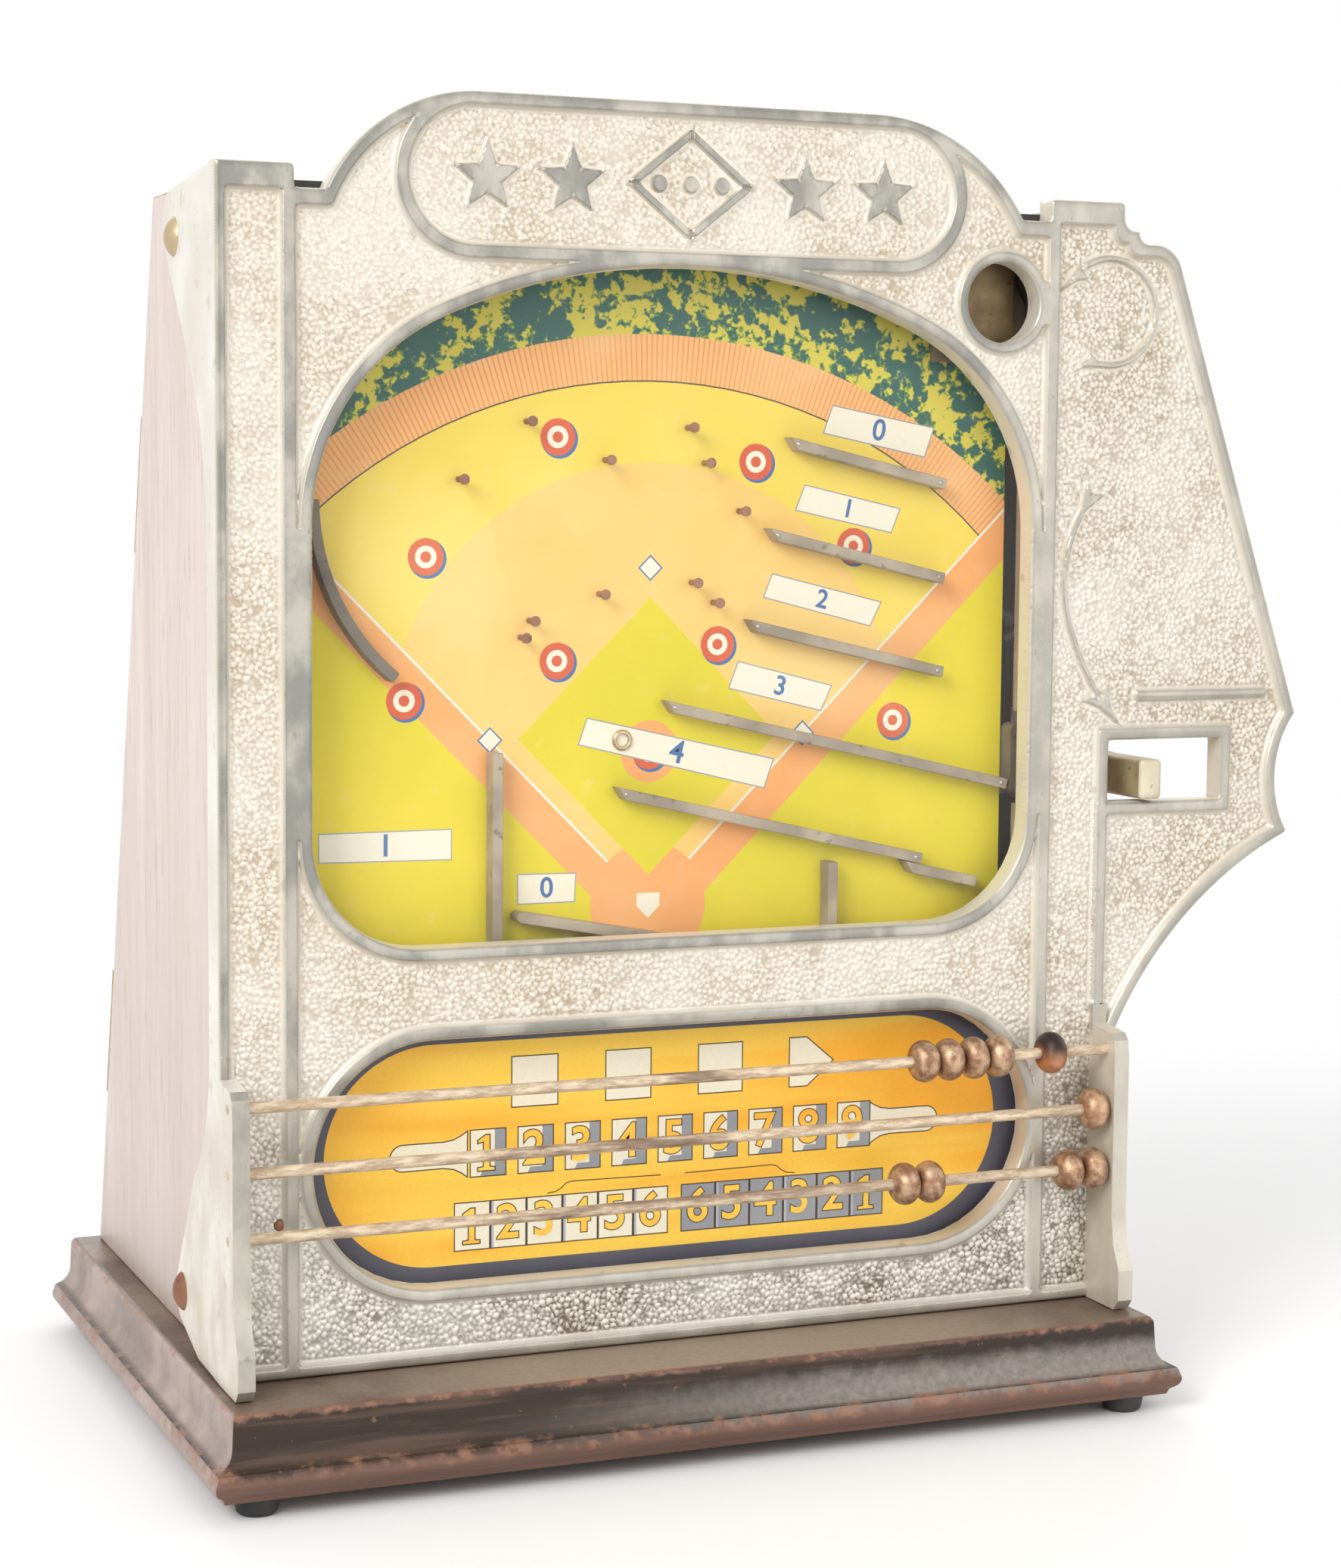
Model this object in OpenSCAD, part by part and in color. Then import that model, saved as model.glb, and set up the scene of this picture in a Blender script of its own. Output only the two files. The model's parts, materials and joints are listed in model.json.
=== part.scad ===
// Countertop arcade baseball game: a cast front on a wooden cabinet, with a glazed playfield,
// a pull lever that swings a bat, and scoring beads on three rods.
// Every piece is drawn in the front's own frame: X across from the middle of the face,
// Y back from the front of its ribs, Z up from the top of the base.

/* [Front casting] */
// Width over the side flanges
face_w = 260.4; // [250:0.2:275]
// Height of the two columns
column_h = 313.5; // [308:0.5:330]
// Rise of the arched top over the columns
arch_rise = 20.5; // [16:0.5:26]
// Radius of the arched top's shoulders
arch_r = 53; // [48:0.5:56]
// Radius of the arch's left shoulder
left_arch_r = 46; // [42:0.5:56]
// Distance from the left flange to the centre of the arch's left shoulder
left_arch_inset = 70.4; // [66:0.2:78]
// Full thickness of the casting
casting_t = 7; // [6:0.5:9]
// Rise of the ribs over the pebbled panels
rib_rise = 2; // [1:0.1:3]
// Width of the ribs
rib_w = 3.4; // [2.6:0.1:4]
// Gap between the casting and the base
casting_lift = 0.4; // [0.2:0.1:1]
// Width of the border from the flange to the main window
side_border = 26.1; // [24.5:0.1:28]
// Width of the outer rib of the columns
edge_rib_w = 2.6; // [2:0.1:3.5]
// Distance from the flange to the inner rib of the left column
column_w = 20.9; // [18:0.1:22]
// Distance from the flange to the inner rib of the right column
right_column_w = 23.1; // [20:0.1:25]
// Height of the plain cap of the columns
cap_h = 6.5; // [5:0.5:8]
// Width of the left column's cap
left_cap_w = 20.7; // [18:0.1:24]
// Width of the right column's cap
right_cap_w = 23.9; // [22:0.1:28]
// Depth of the notches beside the arch
notch_h = 6.1; // [4:0.1:8]
// Height of the bottom rim
rim_h = 3.4; // [2.8:0.1:7]

/* [Marquee and windows] */
// How far the marquee and the main window stand left of the middle
middle_shift = 1; // [0:0.1:2]
// Height of the marquee panel
marquee_h = 35.8; // [30:0.2:38]
// Length of the marquee panel
marquee_w = 157; // [140:0.2:164]
// Bar between the marquee panel and the crown of the window
crown_bar = 3.8; // [2:0.1:5]
// Height of the main window's sill
window_sill = 112; // [108:0.5:118]
// Radius of the main window's lower corners
sill_r = 29.5; // [20:0.5:34]
// Radius of the main window's haunches
haunch_r = 60; // [50:0.5:66]
// Drop from the crown to the centre of the haunches
haunch_drop = 69.5; // [66:0.5:76]
// Height of the score window
score_h = 66.6; // [58:0.1:68]
// Height of the score window's sill
score_sill = 20.8; // [16:0.1:25]
// Border from the flange to the score window
score_border = 25.1; // [24:0.1:30]

/* [Coin hole] */
// Diameter of the coin hole
coin_d = 22.2; // [20:0.1:24]
// Distance of the coin hole from the right flange
coin_inset = 37.1; // [35:0.1:39]
// Distance of the coin hole below the column top
coin_drop = 28.9; // [27:0.1:31]
// Width of the ring round the coin hole
coin_ring_w = 2.8; // [1.5:0.1:3.5]

/* [Wing] */
// Reach of the wing past the flange
wing_reach = 61.4; // [56:0.2:66]
// Height of the wing's tip
wing_tip_z = 169.1; // [167:0.1:176]
// Reach of the wing's shoulder past the flange
shoulder_reach = 21; // [15:0.2:24]
// Drop of the shoulder below the column top
shoulder_drop = 11.3; // [10:0.1:14]
// Radius of the shoulder
shoulder_r = 9; // [6:0.1:10]
// Radius of the two small coves above the shoulder
cove_r = 3.5; // [2.5:0.1:4]
// Radius of the scallop under the tip
scallop_r = 31; // [26:0.2:36]
// Depth of the scallop
scallop_d = 6.1; // [4:0.1:8]
// Radius of the sweep under the wing
sweep_r = 115; // [106:1:124]
// Height of the sweep's centre
sweep_z = 29; // [24:0.5:32]

/* [Lever window] */
// Width of the lever window
lever_win_w = 36.8; // [34:0.1:40]
// Height of the lever window
lever_win_h = 17.8; // [17:0.1:20]
// Height of the lever window's sill
lever_win_z = 144.2; // [142:0.1:147]
// Height of the plain bar over the lever window
bar_rise = 12; // [9:0.1:14]

/* [Flanges and ears] */
// Thickness of the side flanges
flange_t = 4.5; // [3.5:0.1:6]
// Depth of the flanges between their lobes
flange_d = 11; // [9:0.1:14]
// Reach of the upper lobe
upper_lobe = 48.4; // [42:0.2:54]
// Reach of the lower lobe
lower_lobe = 40.5; // [36:0.2:46]
// Radius of the lobes
lobe_r = 8.5; // [7.5:0.1:10]
// Reach of the ears in front of the face
ear_reach = 13; // [12:0.1:16]
// Reach of the feet of the ears
ear_foot = 17.5; // [16:0.1:20]
// Height of the ears over the top rod
ear_cap = 11.4; // [11:0.1:15]

/* [Score rods and beads] */
// Diameter of the score rods
rod_d = 3.2; // [2.6:0.1:3.6]
// Distance of the rods in front of the face
rod_stand = 8; // [7:0.1:9]
// Height of the lowest rod
rod_z = 40.4; // [36:0.1:42]
// Distance between the rods
rod_pitch = 17.1; // [15:0.1:18]
// Diameter of the beads
bead_d = 11.8; // [10:0.1:13]
// Width of the beads
bead_w = 7.4; // [6:0.1:7.8]
// Play between the beads and the rods, on the radius
bead_play = 0.1; // [0.05:0.01:0.2]
// Gap between beads that stand together
bead_gap = 0.35; // [0.3:0.05:0.6]
// Distance of the four leading run beads from the right ear
runs_inset = 58.2; // [56:0.1:62]
// Distance of the last run bead from the right ear
last_run_inset = 18.1; // [16:0.1:20]
// Distance of the left pair of score beads from the right ear
pair_inset = 63.7; // [60:0.1:68]

/* [Cabinet] */
// Thickness of the side panels
panel_t = 12; // [9:0.5:12.5]
// Gap between the flanges and the side panels
panel_gap = 0.2; // [0.1:0.05:0.4]
// Drop of the cabinet's top below the columns
cabinet_drop = 5; // [4:0.1:6]
// Depth of the cabinet at its top
depth_top = 88.5; // [84:0.5:100]
// Depth of the cabinet at its foot
depth_foot = 171; // [160:0.5:185]
// Thickness of the top board
top_t = 8.5; // [7:0.5:10]

/* [Base] */
// Reach of the base past the flanges
base_side = 3.5; // [2:0.1:6]
// Reach of the base in front of the face
base_front = 24.5; // [20:0.1:30]
// Reach of the base behind the cabinet
base_back = 4; // [2:0.1:8]
// Thickness of the base
base_t = 22; // [19:0.5:26]
// Height of the flat band under the base's top edge
base_band = 8; // [6:0.1:9]
// Reach of the base's moulded nose
nose_reach = 6; // [4:0.1:8]
// Diameter of the rubber feet
foot_d = 12.4; // [10:0.1:15]
// Height of the rubber feet
foot_h = 5; // [4:0.1:8]
// Distance of the feet from the base's edges
foot_inset = 7.5; // [7:0.1:12]

/* [Playfield] */
// Thickness of the glass
glass_t = 2.5; // [2:0.1:3]
// Overlap of the glass behind the casting
glass_lap = 4.5; // [3:0.1:5]
// Clear depth between the glass and the playfield
play_gap = 6.1; // [5:0.1:8]
// Thickness of the printed sheet
sheet_t = 0.4; // [0.3:0.1:0.8]
// Thickness of the playfield board
board_t = 6; // [5:0.5:9]
// Width of the open channel right of the playfield
channel_w = 11.1; // [10.8:0.1:13]
// Width of the wooden strips beside the glass
strip_w = 7.2; // [6:0.1:7.5]
// Thickness of the rails
rail_t = 3; // [2.4:0.1:3.6]
// Gap between the rails and the glass
rail_gap = 0.5; // [0.4:0.05:0.8]
// Slope of the shelf rails
shelf_slope = 13; // [11:0.5:15]
// Clear width between the shelf rails and the playfield's right edge
coin_lane = 21.4; // [20:0.1:24]
// Height of the lowest shelf rail's right end
shelf_z = 181.7; // [178:0.1:186]
// Distance between the shelf rails
shelf_pitch = 26.3; // [24:0.1:28]
// Length of the shortest shelf rail
shelf_len = 49.5; // [40:0.5:56]
// Length gained by each lower shelf rail
shelf_grow = 6; // [3:0.5:8]
// Height of the launch rail's right end
launch_z = 149.4; // [147:0.1:152]
// Length of the launch rail
launch_len = 108; // [90:1:114]
// Length of the return rail
return_len = 95; // [80:1:100]
// Distance of the left divider from the middle
left_divider_x = 51.5; // [46:0.5:58]
// Height of the left divider
left_divider_h = 53.5; // [44:0.5:58]
// Distance of the right divider from the middle
right_divider_x = 47.5; // [40:0.5:52]
// Height of the right divider
right_divider_h = 20.5; // [14:0.5:21]
// Length of the rail with the round end
round_rail_len = 41; // [30:0.5:44]
// Slope of the rail with the round end
round_rail_slope = 10.6; // [8:0.1:12]
// Radius of the curved deflector
deflector_r = 60; // [54:0.5:66]
// Angle that the curved deflector turns through
deflector_turn = 51; // [40:1:54]
// Diameter of the field pins
pin_d = 1.6; // [1.2:0.1:2]
// Diameter of the pins' heads
pin_head_d = 2.8; // [2.2:0.1:3.4]
// Depth of the pins in the board
pin_bite = 4; // [2:0.5:4.5]

/* [Score card] */
// Gap between the casting and the score card
card_gap = 3.6; // [2:0.1:5]
// Thickness of the score card
card_t = 0.6; // [0.4:0.1:1]
// Overlap of the score card behind the casting
card_lap = 4.5; // [3:0.1:6]

/* [Lever and bat] */
// Width of the finger bar
finger_w = 7; // [5:0.1:8]
// Height of the finger bar
finger_h = 11.4; // [9:0.1:12]
// Reach of the finger bar in front of the face
finger_reach = 3; // [1:0.1:8]
// Distance of the finger bar from the left edge of its window
finger_inset = 8.7; // [6:0.1:10]
// Gap between the finger bar and the sill of its window
finger_gap = 0.8; // [0.5:0.1:1.2]
// Thickness of the lever arm
arm_t = 3.2; // [2.5:0.1:4]
// Width of the lever arm
arm_w = 11; // [9:0.1:12]
// Gap between the playfield board and the lever arm
arm_gap = 3; // [2.5:0.1:5]
// Diameter of the pivot stud
stud_d = 6; // [5:0.1:7]
// Play between the lever's bore and the pivot stud, on the radius
stud_play = 0.05; // [0.02:0.01:0.08]
// Diameter of the lever's hub
hub_d = 16; // [13:0.1:17]
// Gap between the lever's hub and the side panel
hub_gap = 0.6; // [0.4:0.1:1]
// Width of the bat
bat_w = 4.4; // [3.5:0.1:4.8]
// Height of the bat
bat_h = 20; // [14:0.5:22]
// Clear room round the lever in the side panel
slot_room = 3.2; // [2.5:0.1:4]
// Drop of the spring below the lever's pivot
spring_drop = 63; // [50:0.5:75]
// Slant of the lever arm from its pivot to its foot
arm_slant = 15.1; // [12:0.1:17]
// Outer diameter of the return spring
spring_d = 8; // [7:0.1:9]
// Diameter of the spring's wire
wire_d = 1.2; // [0.9:0.1:1.4]
// Number of curls in the spring
spring_curls = 14; // [10:1:16]
// Distance from the spring post to the lever arm
spring_span = 52; // [46:0.5:58]

/* [Back door] */
// Thickness of the back door
door_t = 9; // [7:0.5:12]
// Gap round the back door
door_gap = 0.4; // [0.3:0.1:1]
// Width of the door stops
stop_w = 9.5; // [8:0.1:11]
// Thickness of the door stops
stop_t = 9.7; // [8:0.1:12]
// Gap between the door and its stops
stop_gap = 0.3; // [0.2:0.05:0.6]
// Length of the hinges
hinge_len = 40; // [30:1:50]
// Radius of the hinges' knuckles
knuckle_r = 2.5; // [2.2:0.1:3]
// Radius of the hinge pins
hinge_pin_r = 1.2; // [1:0.05:1.4]
// Play between the hinge pins and the knuckles, on the radius
hinge_play = 0.05; // [0.02:0.01:0.08]
// Thickness of the hinge leaves
leaf_t = 1.2; // [0.8:0.1:1.6]
// Diameter of the lock's barrel
lock_d = 18; // [15:0.1:19]
// Distance of the lock from the door's edge
lock_inset = 21.5; // [21:0.1:26]
// Length of the lock's cam from its axis
cam_len = 18; // [16.5:0.1:19]

/* [Hidden] */
$fn = 48;

// Colours
aluminium = "#c9c6ba";
mahogany = "#8a5a48";
dark_wood = "#4a2f25";
bare_wood = "#b08a5c";
rubber = "#1c1c1c";
steel = "#8f8a80";
tarnished = "#7d705c";
brass = "#b08d4a";
bronze = "#a06a48";
paper = "#f0d04a";
card_paper = "#f2a52a";

// Small overlap that makes cuts break through
cut = 0.5;
// Clearance of screws, pins and rods in their holes, on the radius
hole_play = 0.05;

// Casting
half_w = face_w / 2;
ear_h = rod_z + 2 * rod_pitch + ear_cap;
arch_top = column_h + arch_rise;
notch_z = column_h - notch_h;
rib_x0 = half_w - column_w;
right_rib_x0 = half_w - right_column_w;
right_rib_x1 = right_rib_x0 + rib_w;
cap_x = half_w + 1.1;
arch_x = half_w - side_border - 51.1;
arch_cz = arch_top - arch_r;
marquee_r = marquee_h / 2;
marquee_cz = arch_top - rib_w - marquee_r;
coin_x = half_w - coin_inset;
coin_z = column_h - coin_drop;

// Main window
window_hw = half_w - side_border;
crown_z = arch_top - rib_w - marquee_h - crown_bar;
spring_z = crown_z - haunch_drop;
haunch_x = window_hw - haunch_r;
haunch_top = crown_z - haunch_r;
crown_cz = (haunch_top ^ 2 - spring_z ^ 2 - haunch_x ^ 2) / (2 * (haunch_top - spring_z));
crown_r = crown_z - crown_cz;
haunch_end = atan2(spring_z - crown_cz, haunch_x);

// Score window
score_hw = half_w - score_border;
score_r = score_h / 2;
score_cz = score_sill + score_r;

// Wing
tip = [half_w + wing_reach, wing_tip_z];
shoulder_z = column_h - shoulder_drop;
shoulder = [half_w + shoulder_reach, shoulder_z - shoulder_r];
edge_dir = (tip - shoulder) / norm(tip - shoulder);
edge_out = [-edge_dir[1], edge_dir[0]];
scallop_c = [tip[0] + scallop_r - scallop_d, wing_tip_z - sqrt(scallop_r ^ 2 - (scallop_r - scallop_d) ^ 2) - 0.6];
sweep_c = [tip[0] + 45.8, sweep_z];
lever_win_x = half_w - 0.7;

// Depths from the front of the ribs
glass_y = casting_t;
gap_y = glass_y + glass_t;
sheet_y = gap_y + play_gap;
board_y = sheet_y + sheet_t;
board_back = board_y + board_t;
card_y = casting_t + card_gap;

// Cabinet
panel_out = half_w - flange_t - panel_gap;
panel_in = panel_out - panel_t;
cabinet_h = column_h - cabinet_drop;
lean = atan2(depth_foot - depth_top, cabinet_h);
top_z = cabinet_h - top_t;

// Base, and the place of the face in the part's own frame
base_hw = half_w + base_side;
base_y1 = depth_foot + base_back;
nose_z = -base_t + 5;
right_reach = max(tip[0], base_hw + nose_reach);
face_x = (base_hw + nose_reach - right_reach) / 2;
face_y = (base_front + nose_reach - base_y1) / 2;
base_top = base_t + foot_h;
foot_x = base_hw - foot_inset;
foot_ys = [-base_front + foot_inset - 3, base_y1 - foot_inset];

// Playfield
field_r = panel_in - channel_w;
field_z0 = window_sill - 11.5;
batten_t = 12;
batten_z = field_z0 - 12.5;
rail_y = gap_y + rail_gap;
rail_d = sheet_y - rail_y;
shelf_x = field_r - coin_lane;

// Lever
finger_x = lever_win_x + finger_inset;
finger_z = lever_win_z + finger_gap;
foot_cz = finger_z + finger_h / 2;
pivot = [panel_in - hub_d / 2 - hub_gap, coin_z - 1.6];
elbow = [pivot[0] - arm_slant, foot_cz];
arm_y = board_back + arm_gap;
bracket_y = arm_y + arm_t + 1.3;
bat_x = field_r + 0.4 + bat_w / 2;
bat_z0 = foot_cz - 4;
slot_z0 = finger_z - slot_room / 2;
slot_z1 = bat_z0 + bat_h + slot_room;
arm_dir = (pivot - elbow) / norm(pivot - elbow);
arm_at_spring = pivot - arm_dir * spring_drop / arm_dir[1];
spring_y = arm_y + arm_t + 4;

// Beads
ear_in = half_w - flange_t;
bead_pitch = bead_w + bead_gap;
runs_x = ear_in - runs_inset;
last_run_x = ear_in - last_run_inset;
pair_x = ear_in - pair_inset;
end_bead_x = ear_in - bead_gap - bead_w / 2;

// Back door, in a frame that lies on the cabinet's leaning back
door_hw = panel_in - door_gap;
door_z0 = (door_gap + door_t * sin(lean)) / cos(lean) + 0.4;
door_z1 = (top_z - door_gap) / cos(lean);
knuckle_y = knuckle_r + 0.2;
hinge_zs = [50, door_z1 - 50 - hinge_len];
lock_x = door_hw - lock_inset;
lock_z = door_z1 / 2;
cam_t = 2.2;
cam_y = -door_t - stop_gap - stop_t - 0.5 - cam_t;

// Curves

// Points along an arc from angle a0 to a1
function arc(c, r, a0, a1, n = 12) =
  [for (i = [0:n]) c + r * [cos(a0 + (a1 - a0) * i / n), sin(a0 + (a1 - a0) * i / n)]];

// Outline of the main window, grown by m
function window_points(m) = concat(
  arc([window_hw - sill_r, window_sill + sill_r], sill_r + m, -90, 0),
  arc([haunch_x, spring_z], haunch_r + m, 0, haunch_end),
  arc([0, crown_cz], crown_r + m, haunch_end, 180 - haunch_end, 16),
  arc([-haunch_x, spring_z], haunch_r + m, 180 - haunch_end, 180),
  arc([-(window_hw - sill_r), window_sill + sill_r], sill_r + m, 180, 270)
);

// Outline of a slot with round ends
function slot_points(half_len, r, cz) =
  concat(arc([half_len - r, cz], r, -90, 90, 20), arc([r - half_len, cz], r, 90, 270, 20));

// Frames and shared shapes

module at_face() { translate([face_x, face_y, base_top]) children(); }

// A plate drawn in X and Z, from depth y to y + t
module plate(y, t) { translate([0, y + t, 0]) rotate([90, 0, 0]) linear_extrude(t) children(); }

// A plate drawn in Y and Z, from x to x + t
module side_plate(x, t) { translate([x, 0, 0]) rotate([90, 0, 90]) linear_extrude(t) children(); }

// A round bar along Y
module y_bar(x, z, r, y0, y1) { translate([x, y1, z]) rotate([90, 0, 0]) cylinder(r = r, h = y1 - y0); }

// A round bar along X
module x_bar(y, z, r, x0, x1) { translate([x0, y, z]) rotate([0, 90, 0]) cylinder(r = r, h = x1 - x0); }

module on_back() { translate([0, depth_foot, 0]) rotate([lean, 0, 0]) children(); }

module block(x0, x1, y0, y1, z0, z1) { translate([x0, y0, z0]) cube([x1 - x0, y1 - y0, z1 - z0]); }

module both_sides() { children(); mirror([1, 0, 0]) children(); }

// Base

// The base's edge: a flat band, a cove and a round nose, as reach and height
function base_edge() = concat(
  [[-1, 0], [0, -1]],
  arc([nose_reach, -base_band - 0.5], nose_reach - 0.4, 180, 262, 8),
  arc([nose_reach - 3, nose_z], 3, 32, -80, 8),
  [[nose_reach - 3, -base_t]]
);

module base_plinth() {
  edge = base_edge();
  n = len(edge) - 1;
  color(dark_wood) at_face() intersection() {
    translate([0, base_y1, 0]) rotate([90, 0, 0]) linear_extrude(base_y1 + base_front + nose_reach + 1)
      polygon(concat(
        [for (p = edge) [base_hw + p[0], p[1]]],
        [for (i = [0:n]) [-base_hw - edge[n - i][0], edge[n - i][1]]]
      ));
    side_plate(-base_hw - nose_reach - 1, 2 * (base_hw + nose_reach + 1))
      polygon(concat(
        [[base_y1, -base_t], [base_y1, 0]],
        [for (p = edge) [-base_front - p[0], p[1]]]
      ));
  }
}

module at_feet() { for (x = [-foot_x, foot_x], y = foot_ys) translate([x, y, -base_t]) children(); }

module rubber_feet() {
  color(rubber) at_face() at_feet() rotate_extrude() difference() {
    polygon([[0, 0], [foot_d / 2, 0], [foot_d / 2 - 0.8, 0.8 - foot_h], [foot_d / 2 - 1.6, -foot_h], [0, -foot_h]]);
    translate([-1, -foot_h - cut]) square([3.2 + 1, foot_h - 2 + cut]);
    translate([-1, -foot_h]) square([1 + 1.5 + hole_play, foot_h + cut]);
  }
}

module foot_screws() {
  color(steel) at_face() at_feet() rotate_extrude()
    polygon([[0, -foot_h + 0.8], [1.8, -foot_h + 1.2], [2.8, -2], [1.5, -2], [1.5, 0], [0, 0]]);
}

// Cabinet

module panel_2d() {
  polygon([[casting_t, 0], [depth_foot, 0], [depth_top, cabinet_h], [casting_t, cabinet_h]]);
}

// Places of the flange screws, as depth and height
screw_r = 2.2;
screw_spots = [[upper_lobe - 4, column_h - 16.2], [lower_lobe + 1.8, 15.3]];

module side_panel() {
  difference() {
    side_plate(panel_in, panel_t) panel_2d();
    for (s = screw_spots) x_bar(s[0], s[1], screw_r + hole_play, panel_out - 10.5, panel_out + cut);
  }
}

module left_side_panel() { color(mahogany) at_face() mirror([1, 0, 0]) side_panel(); }

module right_side_panel() {
  color(mahogany) at_face() difference() {
    side_panel();
    block(panel_in - cut, panel_out + cut, gap_y, arm_y + arm_t + 2, slot_z0, slot_z1);
  }
}

module top_board() {
  color(rubber) at_face() intersection() {
    block(-panel_in, panel_in, casting_t, depth_foot, top_z, cabinet_h);
    side_plate(-panel_in, 2 * panel_in) panel_2d();
  }
}

// Front casting

module arch_2d(inset) {
  polygon(concat(
    arc([arch_x, arch_cz], arch_r - inset, -10, 90, 20),
    arc([left_arch_inset - half_w, arch_top - left_arch_r], left_arch_r - inset, 90, 190, 20)
  ));
}

// The wing, drawn in by inset along its outer edges
module wing_2d(inset) {
  centre = [shoulder[0] - (shoulder_r + 0.2) / edge_out[0], shoulder_z - shoulder_r];
  corner = [tip[0] - inset, wing_tip_z + inset * (edge_out[0] - 1) / edge_out[1]];
  difference() {
    polygon(concat(
      [[right_rib_x0 + 1, ear_h - 16], [tip[0] - inset, ear_h - 16], corner],
      arc(centre, shoulder_r - inset, atan2(edge_out[1], edge_out[0]), 90),
      [[right_rib_x0 + 1, shoulder_z - inset]]
    ));
    translate(scallop_c) circle(r = scallop_r + inset, $fn = 96);
    translate(sweep_c) circle(r = sweep_r + inset, $fn = 160);
  }
}

// Two small coves that step from the column's cap down to the wing's shoulder
module coves_2d() {
  polygon(concat(
    [[cap_x - 5, shoulder_z - 1], [cap_x + 2 * cove_r + 1.2, shoulder_z - 1]],
    arc([cap_x + 2 * cove_r + 1.2, shoulder_z + cove_r], cove_r, 270, 180, 6),
    arc([cap_x + cove_r, shoulder_z + 2 * cove_r], cove_r, 270, 180, 6),
    [[cap_x - 5, shoulder_z + 2 * cove_r]]
  ));
}

module outline_2d() {
  translate([-half_w, casting_lift]) square([face_w, notch_z - casting_lift]);
  translate([-half_w, notch_z - 1]) square([left_cap_w, notch_h + 1]);
  translate([cap_x - right_cap_w, notch_z - 1]) square([right_cap_w, notch_h + 1]);
  arch_2d(0);
  wing_2d(0);
  coves_2d();
}

module openings_2d() {
  translate([-middle_shift, 0]) polygon(window_points(0));
  polygon(slot_points(score_hw, score_r, score_cz));
  translate([lever_win_x, lever_win_z]) square([lever_win_w, lever_win_h]);
}

// The pebbled panels between the ribs
module panels_2d() {
  // Left column
  translate([edge_rib_w - half_w, rim_h]) square([column_w - rib_w - edge_rib_w, column_h - cap_h - rim_h]);
  // Marquee
  translate([-middle_shift, 0]) polygon(slot_points(marquee_w / 2, marquee_r, marquee_cz));
  // Spandrels, the band between the windows and the foot of the face
  difference() {
    union() {
      translate([-rib_x0, rim_h]) square([rib_x0 + right_rib_x0, notch_z - rib_w - 0.9 - rim_h]);
      arch_2d(rib_w);
    }
    translate([-middle_shift, 0]) polygon(window_points(rib_w));
    polygon(slot_points(score_hw + rib_w, score_r + rib_w, score_cz));
    translate([-middle_shift, 0]) polygon(slot_points(marquee_w / 2 + rib_w, marquee_r + rib_w, marquee_cz));
    translate([coin_x, coin_z]) circle(r = coin_d / 2 + coin_ring_w);
    translate([coin_x, coin_z - 6]) square([right_rib_x0 - coin_x + 1, 12]);
    translate([-rib_x0 - 1, window_sill + sill_r])
      square([rib_x0 + right_rib_x0 + 2, spring_z - window_sill - sill_r]);
  }
  // Wing and right column
  difference() {
    union() {
      wing_2d(rib_w);
      translate([-rib_w, -rib_w]) coves_2d();
      translate([right_rib_x1, shoulder_z - rib_w - 1])
        square([cap_x - rib_w - right_rib_x1, column_h - cap_h - shoulder_z + rib_w + 1]);
      translate([right_rib_x1, rim_h]) square([half_w - flange_t - right_rib_x1, ear_h]);
    }
    translate([lever_win_x - rib_w, lever_win_z - rib_w]) square([lever_win_w + 2 * rib_w, lever_win_h + 2 * rib_w]);
    translate([half_w - flange_t, 0]) square([rib_w, lever_win_z]);
    translate([lever_win_x + finger_inset, lever_win_z + lever_win_h + bar_rise])
      square([wing_reach - finger_inset - 9.5, 1.8]);
    translate([right_rib_x0 - 1, rim_h]) square([rib_w + 1, column_h]);
  }
}

// The flange's side view: two lobes joined by a slim band, with the ear in front
module flange_2d() {
  upper = [upper_lobe, column_h - 4 - lobe_r];
  lower = [lower_lobe, casting_lift + 6 + lobe_r];
  polygon(concat(
    [[0, casting_lift], [lower_lobe - 16, casting_lift + 0.8]],
    arc(lower, lobe_r, -60, 38, 8),
    arc([flange_d + 45, ear_h - 1], 45, 232, 180, 8),
    arc([flange_d + 59, column_h - 91.5], 59, 180, 140, 8),
    arc(upper, lobe_r, -40, 85, 8),
    [[0, column_h]]
  ));
}

module ear_2d() {
  polygon([
    [1, casting_lift], [1, ear_h + 1], [0, ear_h], [3.5 - ear_reach, ear_h - 10.5], [0.6 - ear_reach, ear_h - 16],
    [-ear_reach, ear_h - 24], [-ear_reach, 27], [-ear_reach - 1.2, 19], [-ear_foot, 12], [-ear_foot, casting_lift + 3],
    [2.4 - ear_foot, casting_lift]
  ]);
}

module front_casting() {
  color(aluminium) at_face() difference() {
    union() {
      plate(0, casting_t) outline_2d();
      both_sides() side_plate(half_w - flange_t, flange_t) union() {
        flange_2d();
        ear_2d();
      }
    }
    plate(-cut, casting_t + 2 * cut) openings_2d();
    plate(-cut, rib_rise + cut) panels_2d();
    y_bar(coin_x, coin_z, coin_d / 2, -cut, casting_t + cut);
    both_sides() for (s = screw_spots) x_bar(s[0], s[1], screw_r + hole_play, ear_in - cut, half_w + cut);
    for (i = [0:2]) x_bar(-rod_stand, rod_z + i * rod_pitch, rod_d / 2 + hole_play, -half_w - cut, half_w + cut);
  }
}

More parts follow.
